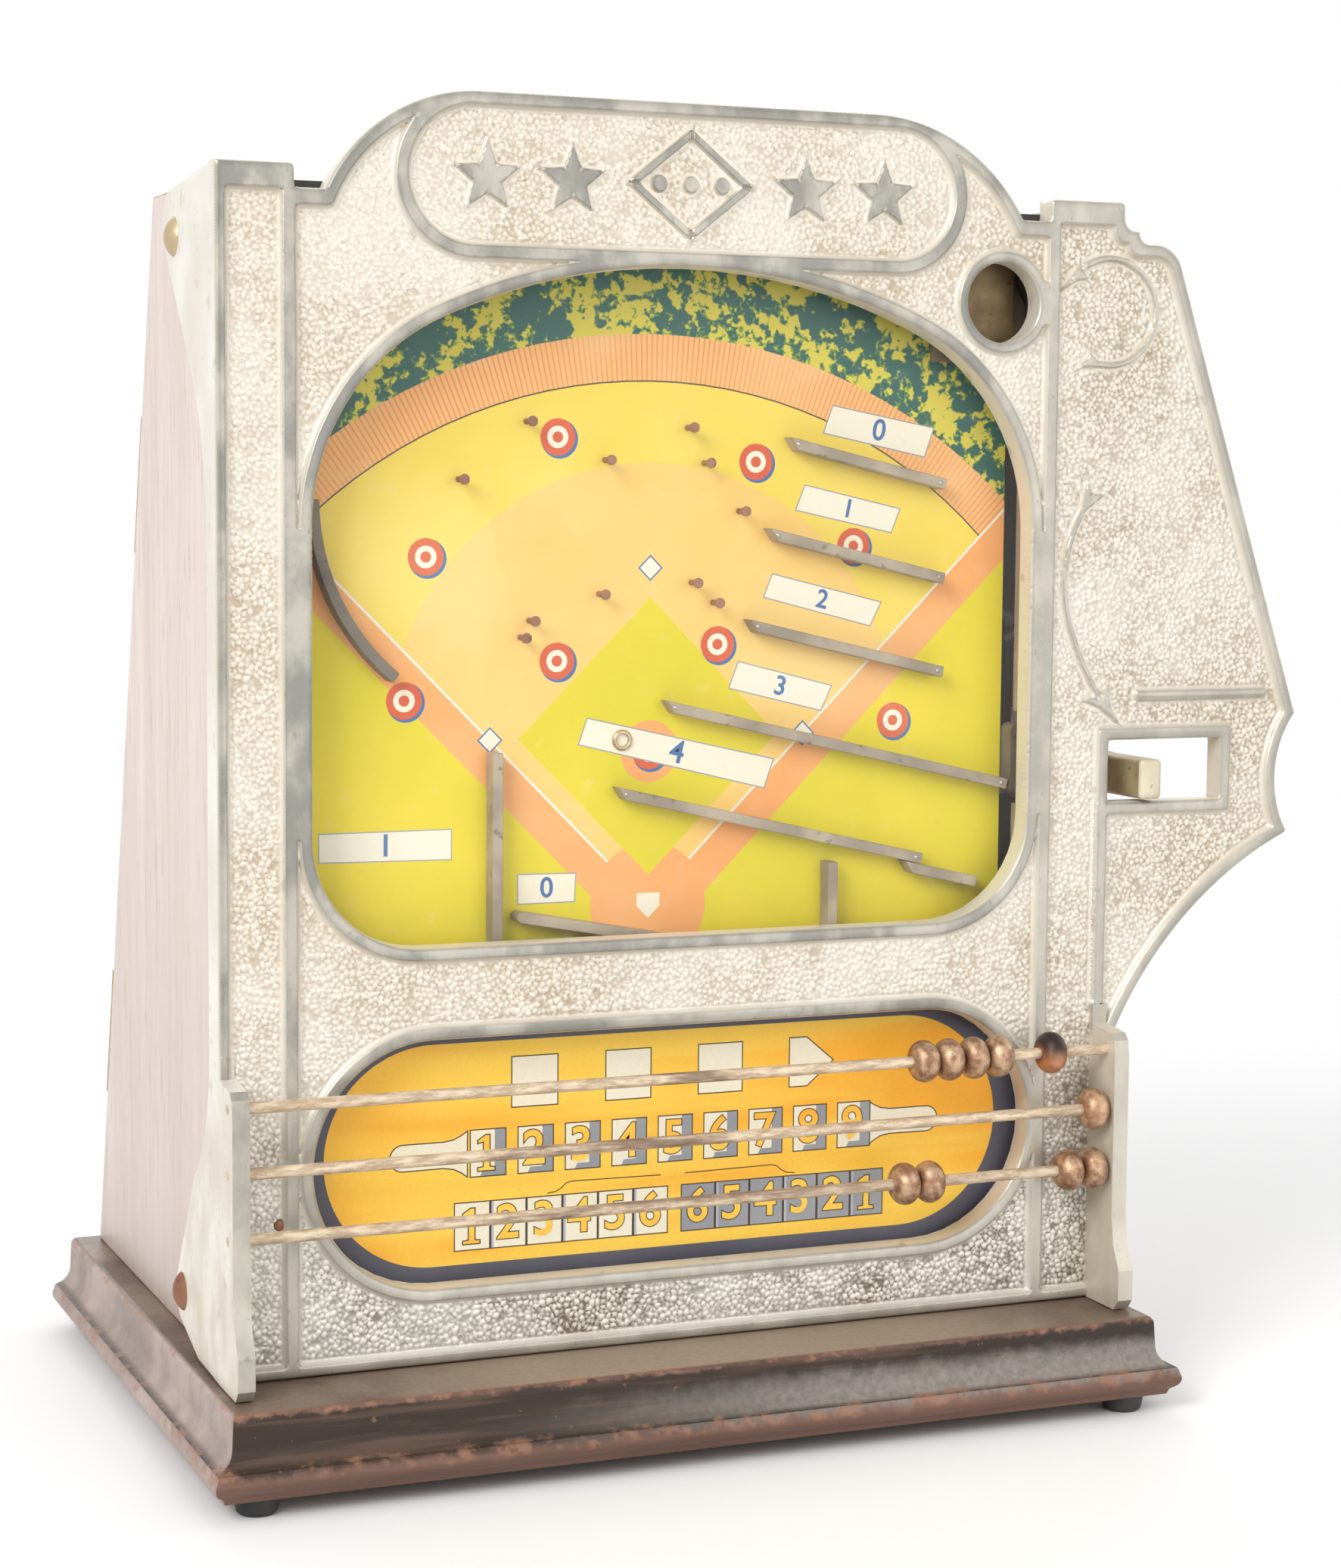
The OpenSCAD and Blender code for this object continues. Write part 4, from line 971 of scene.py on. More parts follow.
@dataclass
class Workshop:
    """Makes pieces and ties them to the frame."""

    nodes: dict[str, Piece]
    record: dict
    face: FaceFrame
    shade_angle: float = 50.0

    def body_of(self, node: str) -> str:
        """The body that a CAD node rides on."""
        return next(b for b, ns in self.record["behaviour"]["bodies"].items() if node in ns)

    def slot_of(self, node: str) -> str:
        """The record's material slot of a CAD node."""
        return next(p["material_slot"] for p in self.record["subparts"] if p["node"] == node)

    def box_of(self, node: str) -> list[Array]:
        """The two corners of a CAD node's box, in face millimetres."""
        return [self.face.to_face(corner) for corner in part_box(node)]

    def triangles(self, node: str) -> Array:
        """Reads a CAD node's mesh.

        Args:
            node: The CAD node.

        Returns:
            Its triangles, in face millimetres, as an array of n by 3 by 3.
        """
        mesh = self.nodes[node].data
        mesh.calc_loop_triangles()
        corners = np.empty(len(mesh.loop_triangles) * 3, np.int64)
        mesh.loop_triangles.foreach_get("vertices", corners)
        spots = np.empty(len(mesh.vertices) * 3)
        mesh.vertices.foreach_get("co", spots)
        return self.face.to_face(spots.reshape(-1, 3))[corners.reshape(-1, 3)]

    def mesh(
        self,
        name: str,
        points: Array,
        faces: Iterable[Sequence[int]],
        finishes: Sequence[Finish],
        face_finish: Optional[Sequence[int]] = None,
        attributes: Optional[dict[str, Array]] = None,
        sharp: float = 35.0,
    ) -> Piece:
        """Makes an object from face millimetres.

        Args:
            name: The piece's name.
            points: Its points.
            faces: Its faces, as indices.
            finishes: Its finishes.
            face_finish: The finish of each face, as an index.
            attributes: Numbers at each point, by name.
            sharp: The angle past which an edge shades sharp, in degrees.

        Returns:
            The linked object.
        """
        mesh = bpy.data.meshes.new(name)
        mesh.from_pydata(self.face.to_part(points).tolist(), [], [list(f) for f in faces])
        self.carry(mesh, attributes or {})
        obj = self.link(mesh, finishes, sharp)
        if face_finish is not None:
            mesh.polygons.foreach_set("material_index", np.asarray(face_finish, np.int32))
        mesh.update()
        return obj

    @staticmethod
    def carry(mesh: bpy.types.Mesh, attributes: dict[str, Array]) -> None:
        """Gives a mesh numbers at each point, by name."""
        for key, values in attributes.items():
            layer = mesh.attributes.new(key, "FLOAT", "POINT")
            layer.data.foreach_set("value", np.asarray(values, np.float32))

    @staticmethod
    def link(mesh: bpy.types.Mesh, finishes: Sequence[Finish], sharp: float) -> Piece:
        """Shades a mesh and links an object of its name.

        Args:
            mesh: The mesh.
            finishes: Its finishes.
            sharp: The angle past which an edge shades sharp, in degrees.

        Returns:
            The object.
        """
        for finish in finishes:
            mesh.materials.append(finish.material())
        mesh.shade_smooth()
        mesh.set_sharp_from_angle(angle=math.radians(sharp))
        obj = bpy.data.objects.new(mesh.name, mesh)
        bpy.context.scene.collection.objects.link(obj)
        return obj

    def place(self, obj: Piece, slot: str, *nodes: str, body: str = Body.CABINET.value) -> Piece:
        """Ties a piece to its body, and hides the CAD nodes that it stands for.

        Args:
            obj: The piece.
            slot: The record's material slot, which is not used.
            nodes: The CAD nodes that it replaces.
            body: The body that it rides on.

        Returns:
            The piece.
        """
        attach(obj, body)
        if nodes:
            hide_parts(*nodes)
        LOG.info("%s: %d faces on %s", obj.name, len(obj.data.polygons), body)
        return obj

    @staticmethod
    def round_edges(
        work: bmesh.types.BMesh, angle: float, width: float, segments: int, finish: int = 0
    ) -> None:
        """Joins a mesh's faces into flats and rounds its sharp edges.

        Args:
            work: The mesh.
            angle: The angle past which an edge is rounded, in degrees.
            width: The width of the rounding, in millimetres.
            segments: The faces across it.
            finish: The finish of the rounded edges, as an index.
        """
        flat, sharp = math.radians(FLAT_ANGLE), math.radians(angle)
        bmesh.ops.dissolve_limit(work, angle_limit=flat, verts=work.verts, edges=work.edges)
        edges = [e for e in work.edges if len(e.link_faces) == 2 and e.calc_face_angle(0.0) > sharp]
        for face in work.faces:
            face.material_index = 0
        bmesh.ops.bevel(
            work, geom=edges, offset=width * MM, offset_type="OFFSET", segments=segments, profile=0.5,
            affect="EDGES", clamp_overlap=True, material=finish,
        )
        bmesh.ops.triangulate(work, faces=[f for f in work.faces if len(f.verts) > 4])

    def from_work(self, work: bmesh.types.BMesh, name: str, finishes: Sequence[Finish], weight: int) -> Piece:
        """Makes an object of a worked mesh, with its broad faces shaded flat.

        Args:
            work: The mesh, which is freed.
            name: The piece's name.
            finishes: Its finishes.
            weight: How much more the broad faces count in the shading.

        Returns:
            The object.
        """
        mesh = bpy.data.meshes.new(name)
        work.to_mesh(mesh)
        work.free()
        obj = self.link(mesh, finishes, self.shade_angle)
        weighted = obj.modifiers.new("weighted", "WEIGHTED_NORMAL")
        weighted.keep_sharp = True
        weighted.weight = weight
        self.settle(obj)
        return obj

    def soften(self, node: str, finishes: Sequence[Finish], width: float = 0.35, segments: int = 2) -> Piece:
        """A copy of a CAD node with its sharp edges rounded.

        Args:
            node: The CAD node.
            finishes: The finish, and a second one for the rounded edges if they are worn.
            width: The width of the rounding, in millimetres.
            segments: The faces across it.

        Returns:
            The piece that replaces the node.
        """
        work = bmesh.new()
        work.from_mesh(self.nodes[node].data)
        bmesh.ops.remove_doubles(work, verts=work.verts, dist=2e-6)
        self.round_edges(work, EDGE_ANGLE, width, segments, len(finishes) - 1)
        obj = self.from_work(work, node + "_finished", finishes, 90)
        return self.place(obj, self.slot_of(node), node, body=self.body_of(node))

    def repaint(self, obj: Piece, finish: Finish, chosen: Callable[[Array], bool]) -> None:
        """Gives some faces of a piece a second finish.

        Args:
            obj: The piece.
            finish: The second finish.
            chosen: Whether a face is given it, by its middle in face millimetres.
        """
        obj.data.materials.append(finish.material())
        for polygon in obj.data.polygons:
            if chosen(self.face.to_face(np.array(polygon.center))):
                polygon.material_index = len(obj.data.materials) - 1

    @staticmethod
    def settle(obj: Piece) -> None:
        """Turns a piece's modifiers into its plain mesh."""
        graph = bpy.context.evaluated_depsgraph_get()
        shown = obj.evaluated_get(graph)
        plain = bpy.data.meshes.new_from_object(shown, preserve_all_data_layers=True, depsgraph=graph)
        obj.modifiers.clear()
        old = obj.data
        obj.data = plain
        plain.name = obj.name
        bpy.data.meshes.remove(old)

    def lathe(
        self, name: str, profile: Sequence[Point], centre: Sequence[float], finish: Finish, sides: int = 48
    ) -> Piece:
        """A turned piece about an axis along X.

        Args:
            name: The piece's name.
            profile: A closed outline, as distance along X and radius.
            centre: The axis's middle, in face millimetres.
            finish: The finish.
            sides: The number of sides.

        Returns:
            The object.
        """
        points = [
            (centre[0] + along, centre[1] + radius * math.cos(angle), centre[2] + radius * math.sin(angle))
            for angle in np.radians(np.arange(sides) * 360.0 / sides)
            for along, radius in profile
        ]
        faces = grid_faces(sides, len(profile), True)
        return self.mesh(name, points, faces, [finish], sharp=self.shade_angle)


def sweep(shop: Workshop, name: str, path: Sequence[Sequence[float]], radius: float, finish: Finish) -> Piece:
    """A round wire along a path.

    Args:
        shop: The workshop.
        name: The piece's name.
        path: The wire's middle line, in face millimetres.
        radius: The wire's radius.
        finish: The finish.

    Returns:
        The object.
    """
    line = np.asarray(path, float)
    along = np.gradient(line, axis=0)
    along /= np.linalg.norm(along, axis=1)[:, None]
    side = np.cross(along[0], (0.0, 0.0, 1.0))
    points, sides = [], 8
    for spot, way in zip(line, along):
        side = side - way * (side @ way)
        side /= np.linalg.norm(side)
        up = np.cross(way, side)
        for k in range(sides):
            a = 2 * math.pi * k / sides
            points.append(spot + radius * (math.cos(a) * side + math.sin(a) * up))
    last = len(points) - sides
    caps = [tuple(reversed(range(sides))), tuple(range(last, last + sides))]
    return shop.mesh(name, points, grid_faces(len(line), sides, False) + caps, [finish], sharp=60.0)


@dataclass
class NailHeads:
    """Domed heads of nails, set on their places by a tree of Geometry Nodes."""

    radius: float
    dome: float = 0.6
    spread: float = 0.12

    def _tree(self, finish: Finish) -> Tree:
        """Builds the tree: a flattened ball on each point of the mesh, each a little larger or smaller.

        Args:
            finish: The finish.

        Returns:
            The tree.
        """
        tree = bpy.data.node_groups.new("nail_heads", "GeometryNodeTree")
        numbers = dict.fromkeys(("Radius", "Dome", "Least", "Most"), "Float")
        for name, kind in {"Places": "Geometry", **numbers, "Seed": "Int"}.items():
            tree.interface.new_socket(name=name, in_out="INPUT", socket_type="NodeSocket" + kind)
        tree.interface.new_socket(name="Heads", in_out="OUTPUT", socket_type="NodeSocketGeometry")
        given, made, spots, ball, flat, shape, size, heads, real, coat = (
            tree.nodes.new(kind) for kind in (
                "NodeGroupInput", "NodeGroupOutput", "GeometryNodeMeshToPoints", "GeometryNodeMeshUVSphere",
                "GeometryNodeTransform", "ShaderNodeCombineXYZ", "FunctionNodeRandomValue",
                "GeometryNodeInstanceOnPoints", "GeometryNodeRealizeInstances", "GeometryNodeSetMaterial",
            )
        )
        ball.inputs["Segments"].default_value = 12
        ball.inputs["Rings"].default_value = 6
        shape.inputs["X"].default_value = shape.inputs["Z"].default_value = 1.0
        coat.inputs["Material"].default_value = finish.material()
        for source, output, target, slot in (
            (given, "Places", spots, "Mesh"), (given, "Radius", ball, "Radius"), (given, "Dome", shape, "Y"),
            (given, "Least", size, 2), (given, "Most", size, 3), (given, "Seed", size, "Seed"),
            (ball, "Mesh", flat, "Geometry"), (shape, "Vector", flat, "Scale"),
            (spots, "Points", heads, "Points"), (flat, "Geometry", heads, "Instance"),
            (size, 1, heads, "Scale"), (heads, "Instances", real, "Geometry"),
            (real, "Geometry", coat, "Geometry"), (coat, "Geometry", made, "Heads"),
        ):
            tree.links.new(source.outputs[output], target.inputs[slot])
        return tree

    def build(
        self, shop: Workshop, name: str, places: Sequence[Sequence[float]], slot: str, finish: Finish
    ) -> None:
        """Makes one piece with a head at each place.

        Args:
            shop: The workshop.
            name: The piece's name.
            places: The heads' middles, in face millimetres.
            slot: The record's material slot.
            finish: The finish.
        """
        obj = shop.mesh(name, places, [], [])
        tree = self._tree(finish)
        modifier = obj.modifiers.new("heads", "NODES")
        modifier.node_group = tree
        sockets = {item.name: item.identifier for item in tree.interface.items_tree if item.in_out == "INPUT"}
        values = {"Least": 1.0 - self.spread, "Most": 1.0 + self.spread, "Seed": SEED}
        for key, value in {"Radius": self.radius * MM, "Dome": self.dome, **values}.items():
            modifier[sockets[key]] = value
        shop.settle(obj)
        obj.data.shade_smooth()
        shop.place(obj, slot)


# The front casting


@dataclass
class FrontCasting:
    """The ribbed front: a relief over the CAD front's own outlines, with flanges, ears and a back."""

    rib_rise: float = 2.0
    half_width: float = 130.2
    seams: tuple[float, float] = (-111.0, 108.8)
    waist: float = 200.0
    ear_x: float = 125.7
    ear_top: float = 87.5
    ear_root: float = 86.0
    ear_cap: float = 80.6
    ear_proud: float = 0.1
    edge_rib: float = 2.6
    edge_round: float = 1.2
    corner_cut: float = 1.4
    marquee: Point = (-1.0, 312.7)
    ring: Point = (127.3, 283.0)
    ring_r: float = 14.9
    line_w: float = 1.5
    grid: float = 0.5
    step: float = 0.8
    pebble: float = 1.7
    pebble_rise: float = 0.58
    raised_rise: float = 1.5
    near: float = 0.02

    def build(self, shop: Workshop) -> None:
        """Makes the relief in four pieces, the flanges with the ears, and the ears' roots."""
        self.shop = shop
        self.tris = shop.triangles("front_casting")
        flat = self.tris.reshape(-1, 3)
        corners = np.arange(len(flat)).reshape(-1, 3).tolist()
        self.tree = BVHTree.FromPolygons([Vector(p) for p in flat], corners)
        ribs, edges = (self._rounded(self._eased(found)) for found in self._outlines())
        raised = self._ornaments()
        points, faces, depth = self._relief_net(ribs, edges, raised)
        self._relief(points, faces, depth, ribs, edges, raised)
        self._flanges()
        self._ear_roots()

    def _level(self, x: float, z: float) -> float:
        """The depth of the CAD front.

        Args:
            x: The place across.
            z: The place up.

        Returns:
            The depth, or OUTSIDE where the front has none.
        """
        hit, normal, _, _ = self.tree.ray_cast(Vector((x, -0.6, z)), Vector((0, 1, 0)))
        if hit is None or normal.y > -0.9 or hit.y > self.rib_rise + 0.5:
            return OUTSIDE
        return hit.y

    def _outlines(self) -> tuple[list[tuple], list[tuple]]:
        """Finds the ribs' outlines and the front's outer edges in the CAD mesh.

        Returns:
            The ribs' outline segments, and the outer edge segments.
        """
        normal = unit_normals(self.tris)
        level = self.tris[:, :, 1].mean(1)
        front = (normal[:, 1] < -0.99) & (level > -0.05) & (level < self.rib_rise + 0.05)
        seen: dict[tuple, list] = {}
        for tri, depth in zip(self.tris[front][:, :, [0, 2]], level[front]):
            for a, b in ((0, 1), (1, 2), (2, 0)):
                ends = tuple(sorted((tuple(np.round(tri[a], 2)), tuple(np.round(tri[b], 2)))))
                seen.setdefault(ends, []).append(round(float(depth)))
        ribs, edges = [], []
        for (a, b), levels in seen.items():
            if len(levels) == 2 and levels[0] == levels[1]:
                continue
            p, q = np.array(a), np.array(b)
            if np.linalg.norm(q - p) < 1e-3:
                continue
            side, middle = left_of(p, q) * 0.06, (p + q) / 2
            one, two = self._level(*(middle + side)), self._level(*(middle - side))
            if one < OUTSIDE and two < OUTSIDE:
                if abs(one - two) > 0.5 and 0 in levels:
                    ribs.append((p, q))
            elif one < OUTSIDE or two < OUTSIDE:
                edges.append((p, q))
        return ribs, edges

    def _ornaments(self) -> list[list[Point]]:
        """Outlines of the raised arrows and bar on the wing and the plain shapes on the marquee."""
        bar = [(138.5, 173.0), (181.0, 173.3), (181.0, 175.9), (138.5, 175.9)]
        shapes = [self._ring_arrow(), self._bent_arrow(), bar]
        x, z = self.marquee
        shapes += [self._diamond_side(self.marquee, 90.0 * k) for k in range(4)]
        shapes += [disc((x + away, z), 2.2, 24) for away in (-9.0, 0.0, 9.0)]
        for away in (-57.0, -33.5, 33.5, 57.0):
            star = []
            for k in range(10):
                r = 9.4 if k % 2 == 0 else 4.1
                a = math.radians(90 + 36 * k)
                star.append((x + away + r * math.cos(a), z - 0.4 + r * math.sin(a)))
            shapes.append(star)
        return shapes

    def _ring_arrow(self) -> list[Point]:
        """The outline of the round arrow, with a barbed head at the upper left and a forked tail below."""
        near, far = self.ring_r - self.line_w / 2, self.ring_r + self.line_w / 2
        head = [
            (117.9, 294.6), (117.0, 295.8), (114.5, 291.9), (111.4, 288.2), (116.4, 291.5), (119.9, 292.0),
            (118.7, 293.7),
        ]
        tail = [
            (123.8, 269.1), (121.0, 271.5), (119.8, 269.3), (116.3, 266.1), (118.8, 267.4), (122.0, 267.6),
        ]
        return head + arc(self.ring, near, 122, -100, 40) + tail + arc(self.ring, far, -98, 122, 40)

    def _bent_arrow(self) -> list[Point]:
        """The outline of the bent arrow, with a forked tail above and a barbed head below."""
        line = bend(*(np.array(p) for p in ((120.1, 227.7), (106.1, 204.8), (126.1, 174.8))), 25)
        shaft = ribbon(line, self.line_w)
        head = [(129.4, 177.9), (130.0, 171.7), (133.6, 165.6), (126.7, 171.2), (121.0, 173.5)]
        tail = [(121.0, 235.8), (122.7, 231.8), (126.8, 231.8)]
        return shaft[: len(line)] + head + shaft[len(line) :] + tail

    @staticmethod
    def _diamond_side(centre: Point, turn: float) -> list[Point]:
        """One bar of the diamond on the marquee.

        Args:
            centre: The diamond's centre.
            turn: The turn of the bar, in degrees.

        Returns:
            The bar's outline, with mitred ends a little apart from the next bar.
        """
        outer, inner, gap, wide = 14.6, 12.1, 0.35, 1.25
        ends = [(outer - gap, gap), (gap, outer - gap), (gap, inner - gap), (inner - gap, gap)]
        c, s = math.cos(math.radians(turn)), math.sin(math.radians(turn))
        return [(centre[0] + wide * (x * c - z * s), centre[1] + x * s + z * c) for x, z in ends]

    @staticmethod
    def _split(p: Array, q: Array, step: float) -> Array:
        """Points from p to q, at most a step apart, both ends included."""
        count = max(1, math.ceil(np.linalg.norm(q - p) / step))
        return p + (q - p) * np.linspace(0, 1, count + 1)[:, None]

    def _eased(self, segments: list[tuple]) -> list[tuple]:
        """Rounds the true corners of an outline a little, but not those that the flanges and ears share.

        Args:
            segments: The outline's chords.

        Returns:
            The chords, shorter at each corner, and short curves between them.
        """
        ends: dict[tuple, list[tuple[int, int]]] = {}
        for n, pair in enumerate(segments):
            for k, v in enumerate(pair):
                ends.setdefault(spot_key(v), []).append((n, k))
        chords = [list(pair) for pair in segments]
        curves = []
        for (x, z), meeting in ends.items():
            shared = abs(abs(x) - self.half_width) < 0.3 or (abs(x) > self.ear_x - 1 and z < self.ear_top + 2)
            if len(meeting) != 2 or shared:
                continue
            (n, i), (m, j) = meeting
            spot = segments[n][i]
            one, two = segments[n][1 - i] - spot, segments[m][1 - j] - spot
            lengths = np.linalg.norm(one), np.linalg.norm(two)
            turn = math.pi - math.acos(float(np.clip(one @ two / (lengths[0] * lengths[1]), -1, 1)))
            if turn < math.radians(CORNER_ANGLE):
                continue
            cut = min(self.corner_cut, 0.4 * min(lengths), 1.0 / math.sin(turn / 2))
            a, b = spot + one / lengths[0] * cut, spot + two / lengths[1] * cut
            chords[n][i], chords[m][j] = a, b
            curve = bend(a, spot, b, 4)
            curves.extend(zip(curve, curve[1:]))
        return [tuple(pair) for pair in chords] + curves

    def _rounded(self, segments: list[tuple]) -> list[tuple]:
        """Bends the chords of the CAD mesh back into curves.

        Args:
            segments: The outline's chords.

        Returns:
            Shorter segments along smooth curves, with the true corners kept.
        """
        ends: dict[tuple, list[int]] = {}
        for n, (p, q) in enumerate(segments):
            for v in (p, q):
                ends.setdefault(spot_key(v), []).append(n)

        def heading(n: int, v: Array, ahead: Array) -> Array:
            """The curve's direction at the end v of chord n, whose own direction away from v is ahead."""
            others = [m for m in ends[spot_key(v)] if m != n]
            if len(others) != 1:
                return ahead
            p, q = segments[others[0]]
            far = q if np.linalg.norm(p - v) < np.linalg.norm(q - v) else p
            length = np.linalg.norm(v - far)
            before = (v - far) / length
            own = np.linalg.norm(segments[n][1] - segments[n][0])
            if before @ ahead < math.cos(math.radians(CORNER_ANGLE)) or own > 3 * length:
                return ahead
            if length > 3 * own:
                return before
            both = before + ahead
            return both / np.linalg.norm(both)

        fine = []
        for n, (p, q) in enumerate(segments):
            length = np.linalg.norm(q - p)
            along = (q - p) / length
            start, end = heading(n, p, along) * length, -heading(n, q, -along) * length
            count = max(1, math.ceil(length / self.step))
            t = np.linspace(0, 1, count + 1)[:, None]
            curve = (2 * t**3 - 3 * t**2 + 1) * p + (t**3 - 2 * t**2 + t) * start
            curve = curve + (3 * t**2 - 2 * t**3) * q + (t**3 - t**2) * end
            fine.extend((curve[i], curve[i + 1]) for i in range(count))
        return fine

    @staticmethod
    def _samples(segments: Iterable[tuple], step: float = 0.2) -> KDTree:
        """A search tree of points along segments."""
        return search_tree(np.concatenate([FrontCasting._split(p, q, step) for p, q in segments]))

    @staticmethod
    def _sides(shape: Sequence[Point]) -> list[tuple]:
        """The segments of a closed outline."""
        p = [np.array(v, float) for v in shape]
        return [(p[i], p[(i + 1) % len(p)]) for i in range(len(p))]

    def _relief_net(self, ribs: list, edges: list, raised: list) -> tuple[Array, Array, Array]:
        """A fine net of triangles over the front, with rows of points along every outline.

        Args:
            ribs: The ribs' outline segments.
            edges: The outer edge segments.
            raised: The raised shapes' outlines.

        Returns:
            The net's points as X and Z, its triangles, and each triangle's depth on the CAD front.
        """
        rng = np.random.default_rng(SEED)
        sides = [s for shape in raised for s in self._sides(shape)]
        lines = [(s, (0.3, 0.65, 1.05)) for s in ribs] + [(s, (0.2, 0.45, 0.85)) for s in edges]
        lines += [(s, (0.3, 0.65)) for s in sides]
        tree = self._samples([s for s, _ in lines])
        spots: list[tuple] = []
        bonds: list[tuple[int, int]] = []
        index: dict[tuple, int] = {}
        for (p, q), _ in lines:
            last = None
            for v in self._split(p, q, self.step):
                key = spot_key(v, 3)
                if key not in index:
                    index[key] = len(spots)
                    spots.append(key)
                if last is not None and last != index[key]:
                    bonds.append((last, index[key]))
                last = index[key]
        for (p, q), offsets in lines:
            if np.linalg.norm(q - p) < 0.05:
                continue
            side = left_of(p, q)
            row = self._split(p, q, self.step)
            row = (row[1:] + row[:-1]) / 2
            for offset in offsets:
                for way in (1, -1):
                    for v in row + side * offset * way:
                        near = tree.find((v[0], v[1], 0.0))[2]
                        if near > offset * 0.9 and self._level(v[0], v[1]) < OUTSIDE:
                            spots.append((float(v[0]), float(v[1])))
        low, high = self.tris.reshape(-1, 3).min(0), self.tris.reshape(-1, 3).max(0)
        for j, z in enumerate(np.arange(low[2], high[2], self.grid * math.sqrt(3) / 2)):
            for x in np.arange(low[0], high[0], self.grid) + (j % 2) * self.grid / 2:
                level = self._level(x, z)
                if level >= OUTSIDE:
                    continue
                if tree.find((x, z, 0.0))[2] > (1.9 if level < 0.5 else 1.3):
                    jitter = rng.uniform(-0.12, 0.12, 2) * self.grid
                    spots.append((float(x + jitter[0]), float(z + jitter[1])))
        out = delaunay_2d_cdt([Vector(p) for p in spots], bonds, [], 0, 1e-5)
        points = np.array([tuple(v) for v in out[0]])
        faces = np.array([f for f in out[2] if len(f) == 3])
        fixed = {tuple(sorted(e)) for e, given in zip(out[1], out[4]) if given}
        depth = self._regions(points, faces, fixed, tree)
        inside = depth < OUTSIDE
        return points, faces[inside], depth[inside]

    def _regions(self, points: Array, faces: Array, fixed: set[tuple[int, int]], lines: KDTree) -> Array:
        """The CAD front's depth under each triangle.

        Args:
            points: The net's points.
            faces: Its triangles.
            fixed: The edges that lie on outlines.
            lines: Points along the outlines.

        Returns:
            The depth for each triangle. One beside an outline takes it from the next on its own side.
        """
        owners: dict[tuple[int, int], list[int]] = {}
        for n, (a, b, c) in enumerate(faces.tolist()):
            for i, j in ((a, b), (b, c), (c, a)):
                owners.setdefault((i, j) if i < j else (j, i), []).append(n)
        near: list[list[int]] = [[] for _ in range(len(faces))]
        for edge, pair in owners.items():
            if len(pair) == 2 and edge not in fixed:
                near[pair[0]].append(pair[1])
                near[pair[1]].append(pair[0])
        depth = np.full(len(faces), np.nan)
        queue = []
        for n, (x, z) in enumerate(points[faces].mean(1)):
            if lines.find((x, z, 0.0))[2] > 0.28:
                depth[n] = self._level(x, z)
                queue.append(n)
        while queue:
            here = queue.pop()
            for n in near[here]:
                if np.isnan(depth[n]):
                    depth[n] = depth[here]
                    queue.append(n)
        for n in np.flatnonzero(np.isnan(depth)):
            depth[n] = self._level(*points[faces[n]].mean(0))
        return depth

    def _relief(
        self, points: Array, faces: Array, flat: Array, ribs: list, edges: list, raised: list
    ) -> None:
        """Gives the net its depth and makes its pieces.

        Args:
            points: The net's points.
            faces: Its triangles.
            flat: The CAD front's depth under each triangle.
            ribs: The ribs' outline segments.
            edges: The outer edge segments.
            raised: The raised shapes' outlines.
        """
        rng = np.random.default_rng(SEED + 1)
        level = np.zeros(len(points))
        level[faces.ravel()] = np.repeat(flat, 3)
        away = distances(self._samples(ribs), points)
        signed = np.where(level < 0.5, away, -away)
        edge = distances(self._samples([s for s in edges if not self._at_ear(s)]), points)
        lift = distances(self._samples([s for shape in raised for s in self._sides(shape)]), points)
        within = np.zeros(len(points), bool)
        for shape in raised:
            within |= self._inside(points, np.array(shape))
        lift = np.where(within, lift, -lift)
        dome = self._pebbles(points, rng)
        free = smooth(-signed, 0.5, 1.9) * smooth(-lift, 0.3, 1.4)
        floor = self.rib_rise - free * dome * self.pebble_rise
        depth = floor * smooth(-signed, -0.35, 0.95)
        top = self.rib_rise - self.raised_rise * smooth(lift, -0.4, 0.3)
        depth = np.where(lift > -0.45, np.minimum(depth, top), depth)
        near = np.clip(self.edge_round - edge, 0, self.edge_round)
        depth = depth + self.edge_round - np.sqrt(self.edge_round**2 - near**2)
        rib = np.maximum(smooth(signed, -0.25, 0.35) * smooth(edge, 0.05, 0.55), smooth(lift, -0.2, 0.25))
        relief = np.clip(0.25 * (1 - free) * 2 + free * dome, 0, 1)
        relief = np.where((signed < -0.9) & (signed > -1.9), relief * 0.85, relief)
        solid = np.stack([points[:, 0], depth, points[:, 1]], 1)
        across, up = points[faces].mean(1).T
        left, right = across < self.seams[0], across > self.seams[1]
        border = {tuple(sorted(edge)) for edge in rim_of(faces).tolist()}
        for name, chosen in (
            ("front_casting_left_column", left),
            ("front_casting_arch", ~left & ~right & (up > self.waist)),
            ("front_casting_score_panel", ~left & ~right & (up <= self.waist)),
            ("front_casting_wing", right),
        ):
            self._piece(name, solid, faces[chosen], {"rib": rib, "relief": relief}, border)

    def _at_ear(self, segment: tuple) -> bool:
        """Whether an outer edge is only the joint with an ear.

        Args:
            segment: The edge's two ends.

        Returns:
            Whether it is.
        """
        p, q = segment
        x = (abs(p[0]) + abs(q[0])) / 2
        beside_wing = p[0] > 0 and abs(x - self.half_width) < 0.05
        beside_ear = self.ear_x - 0.1 < x < self.half_width - 0.05
        return (beside_ear or beside_wing) and max(p[1], q[1]) < self.ear_top

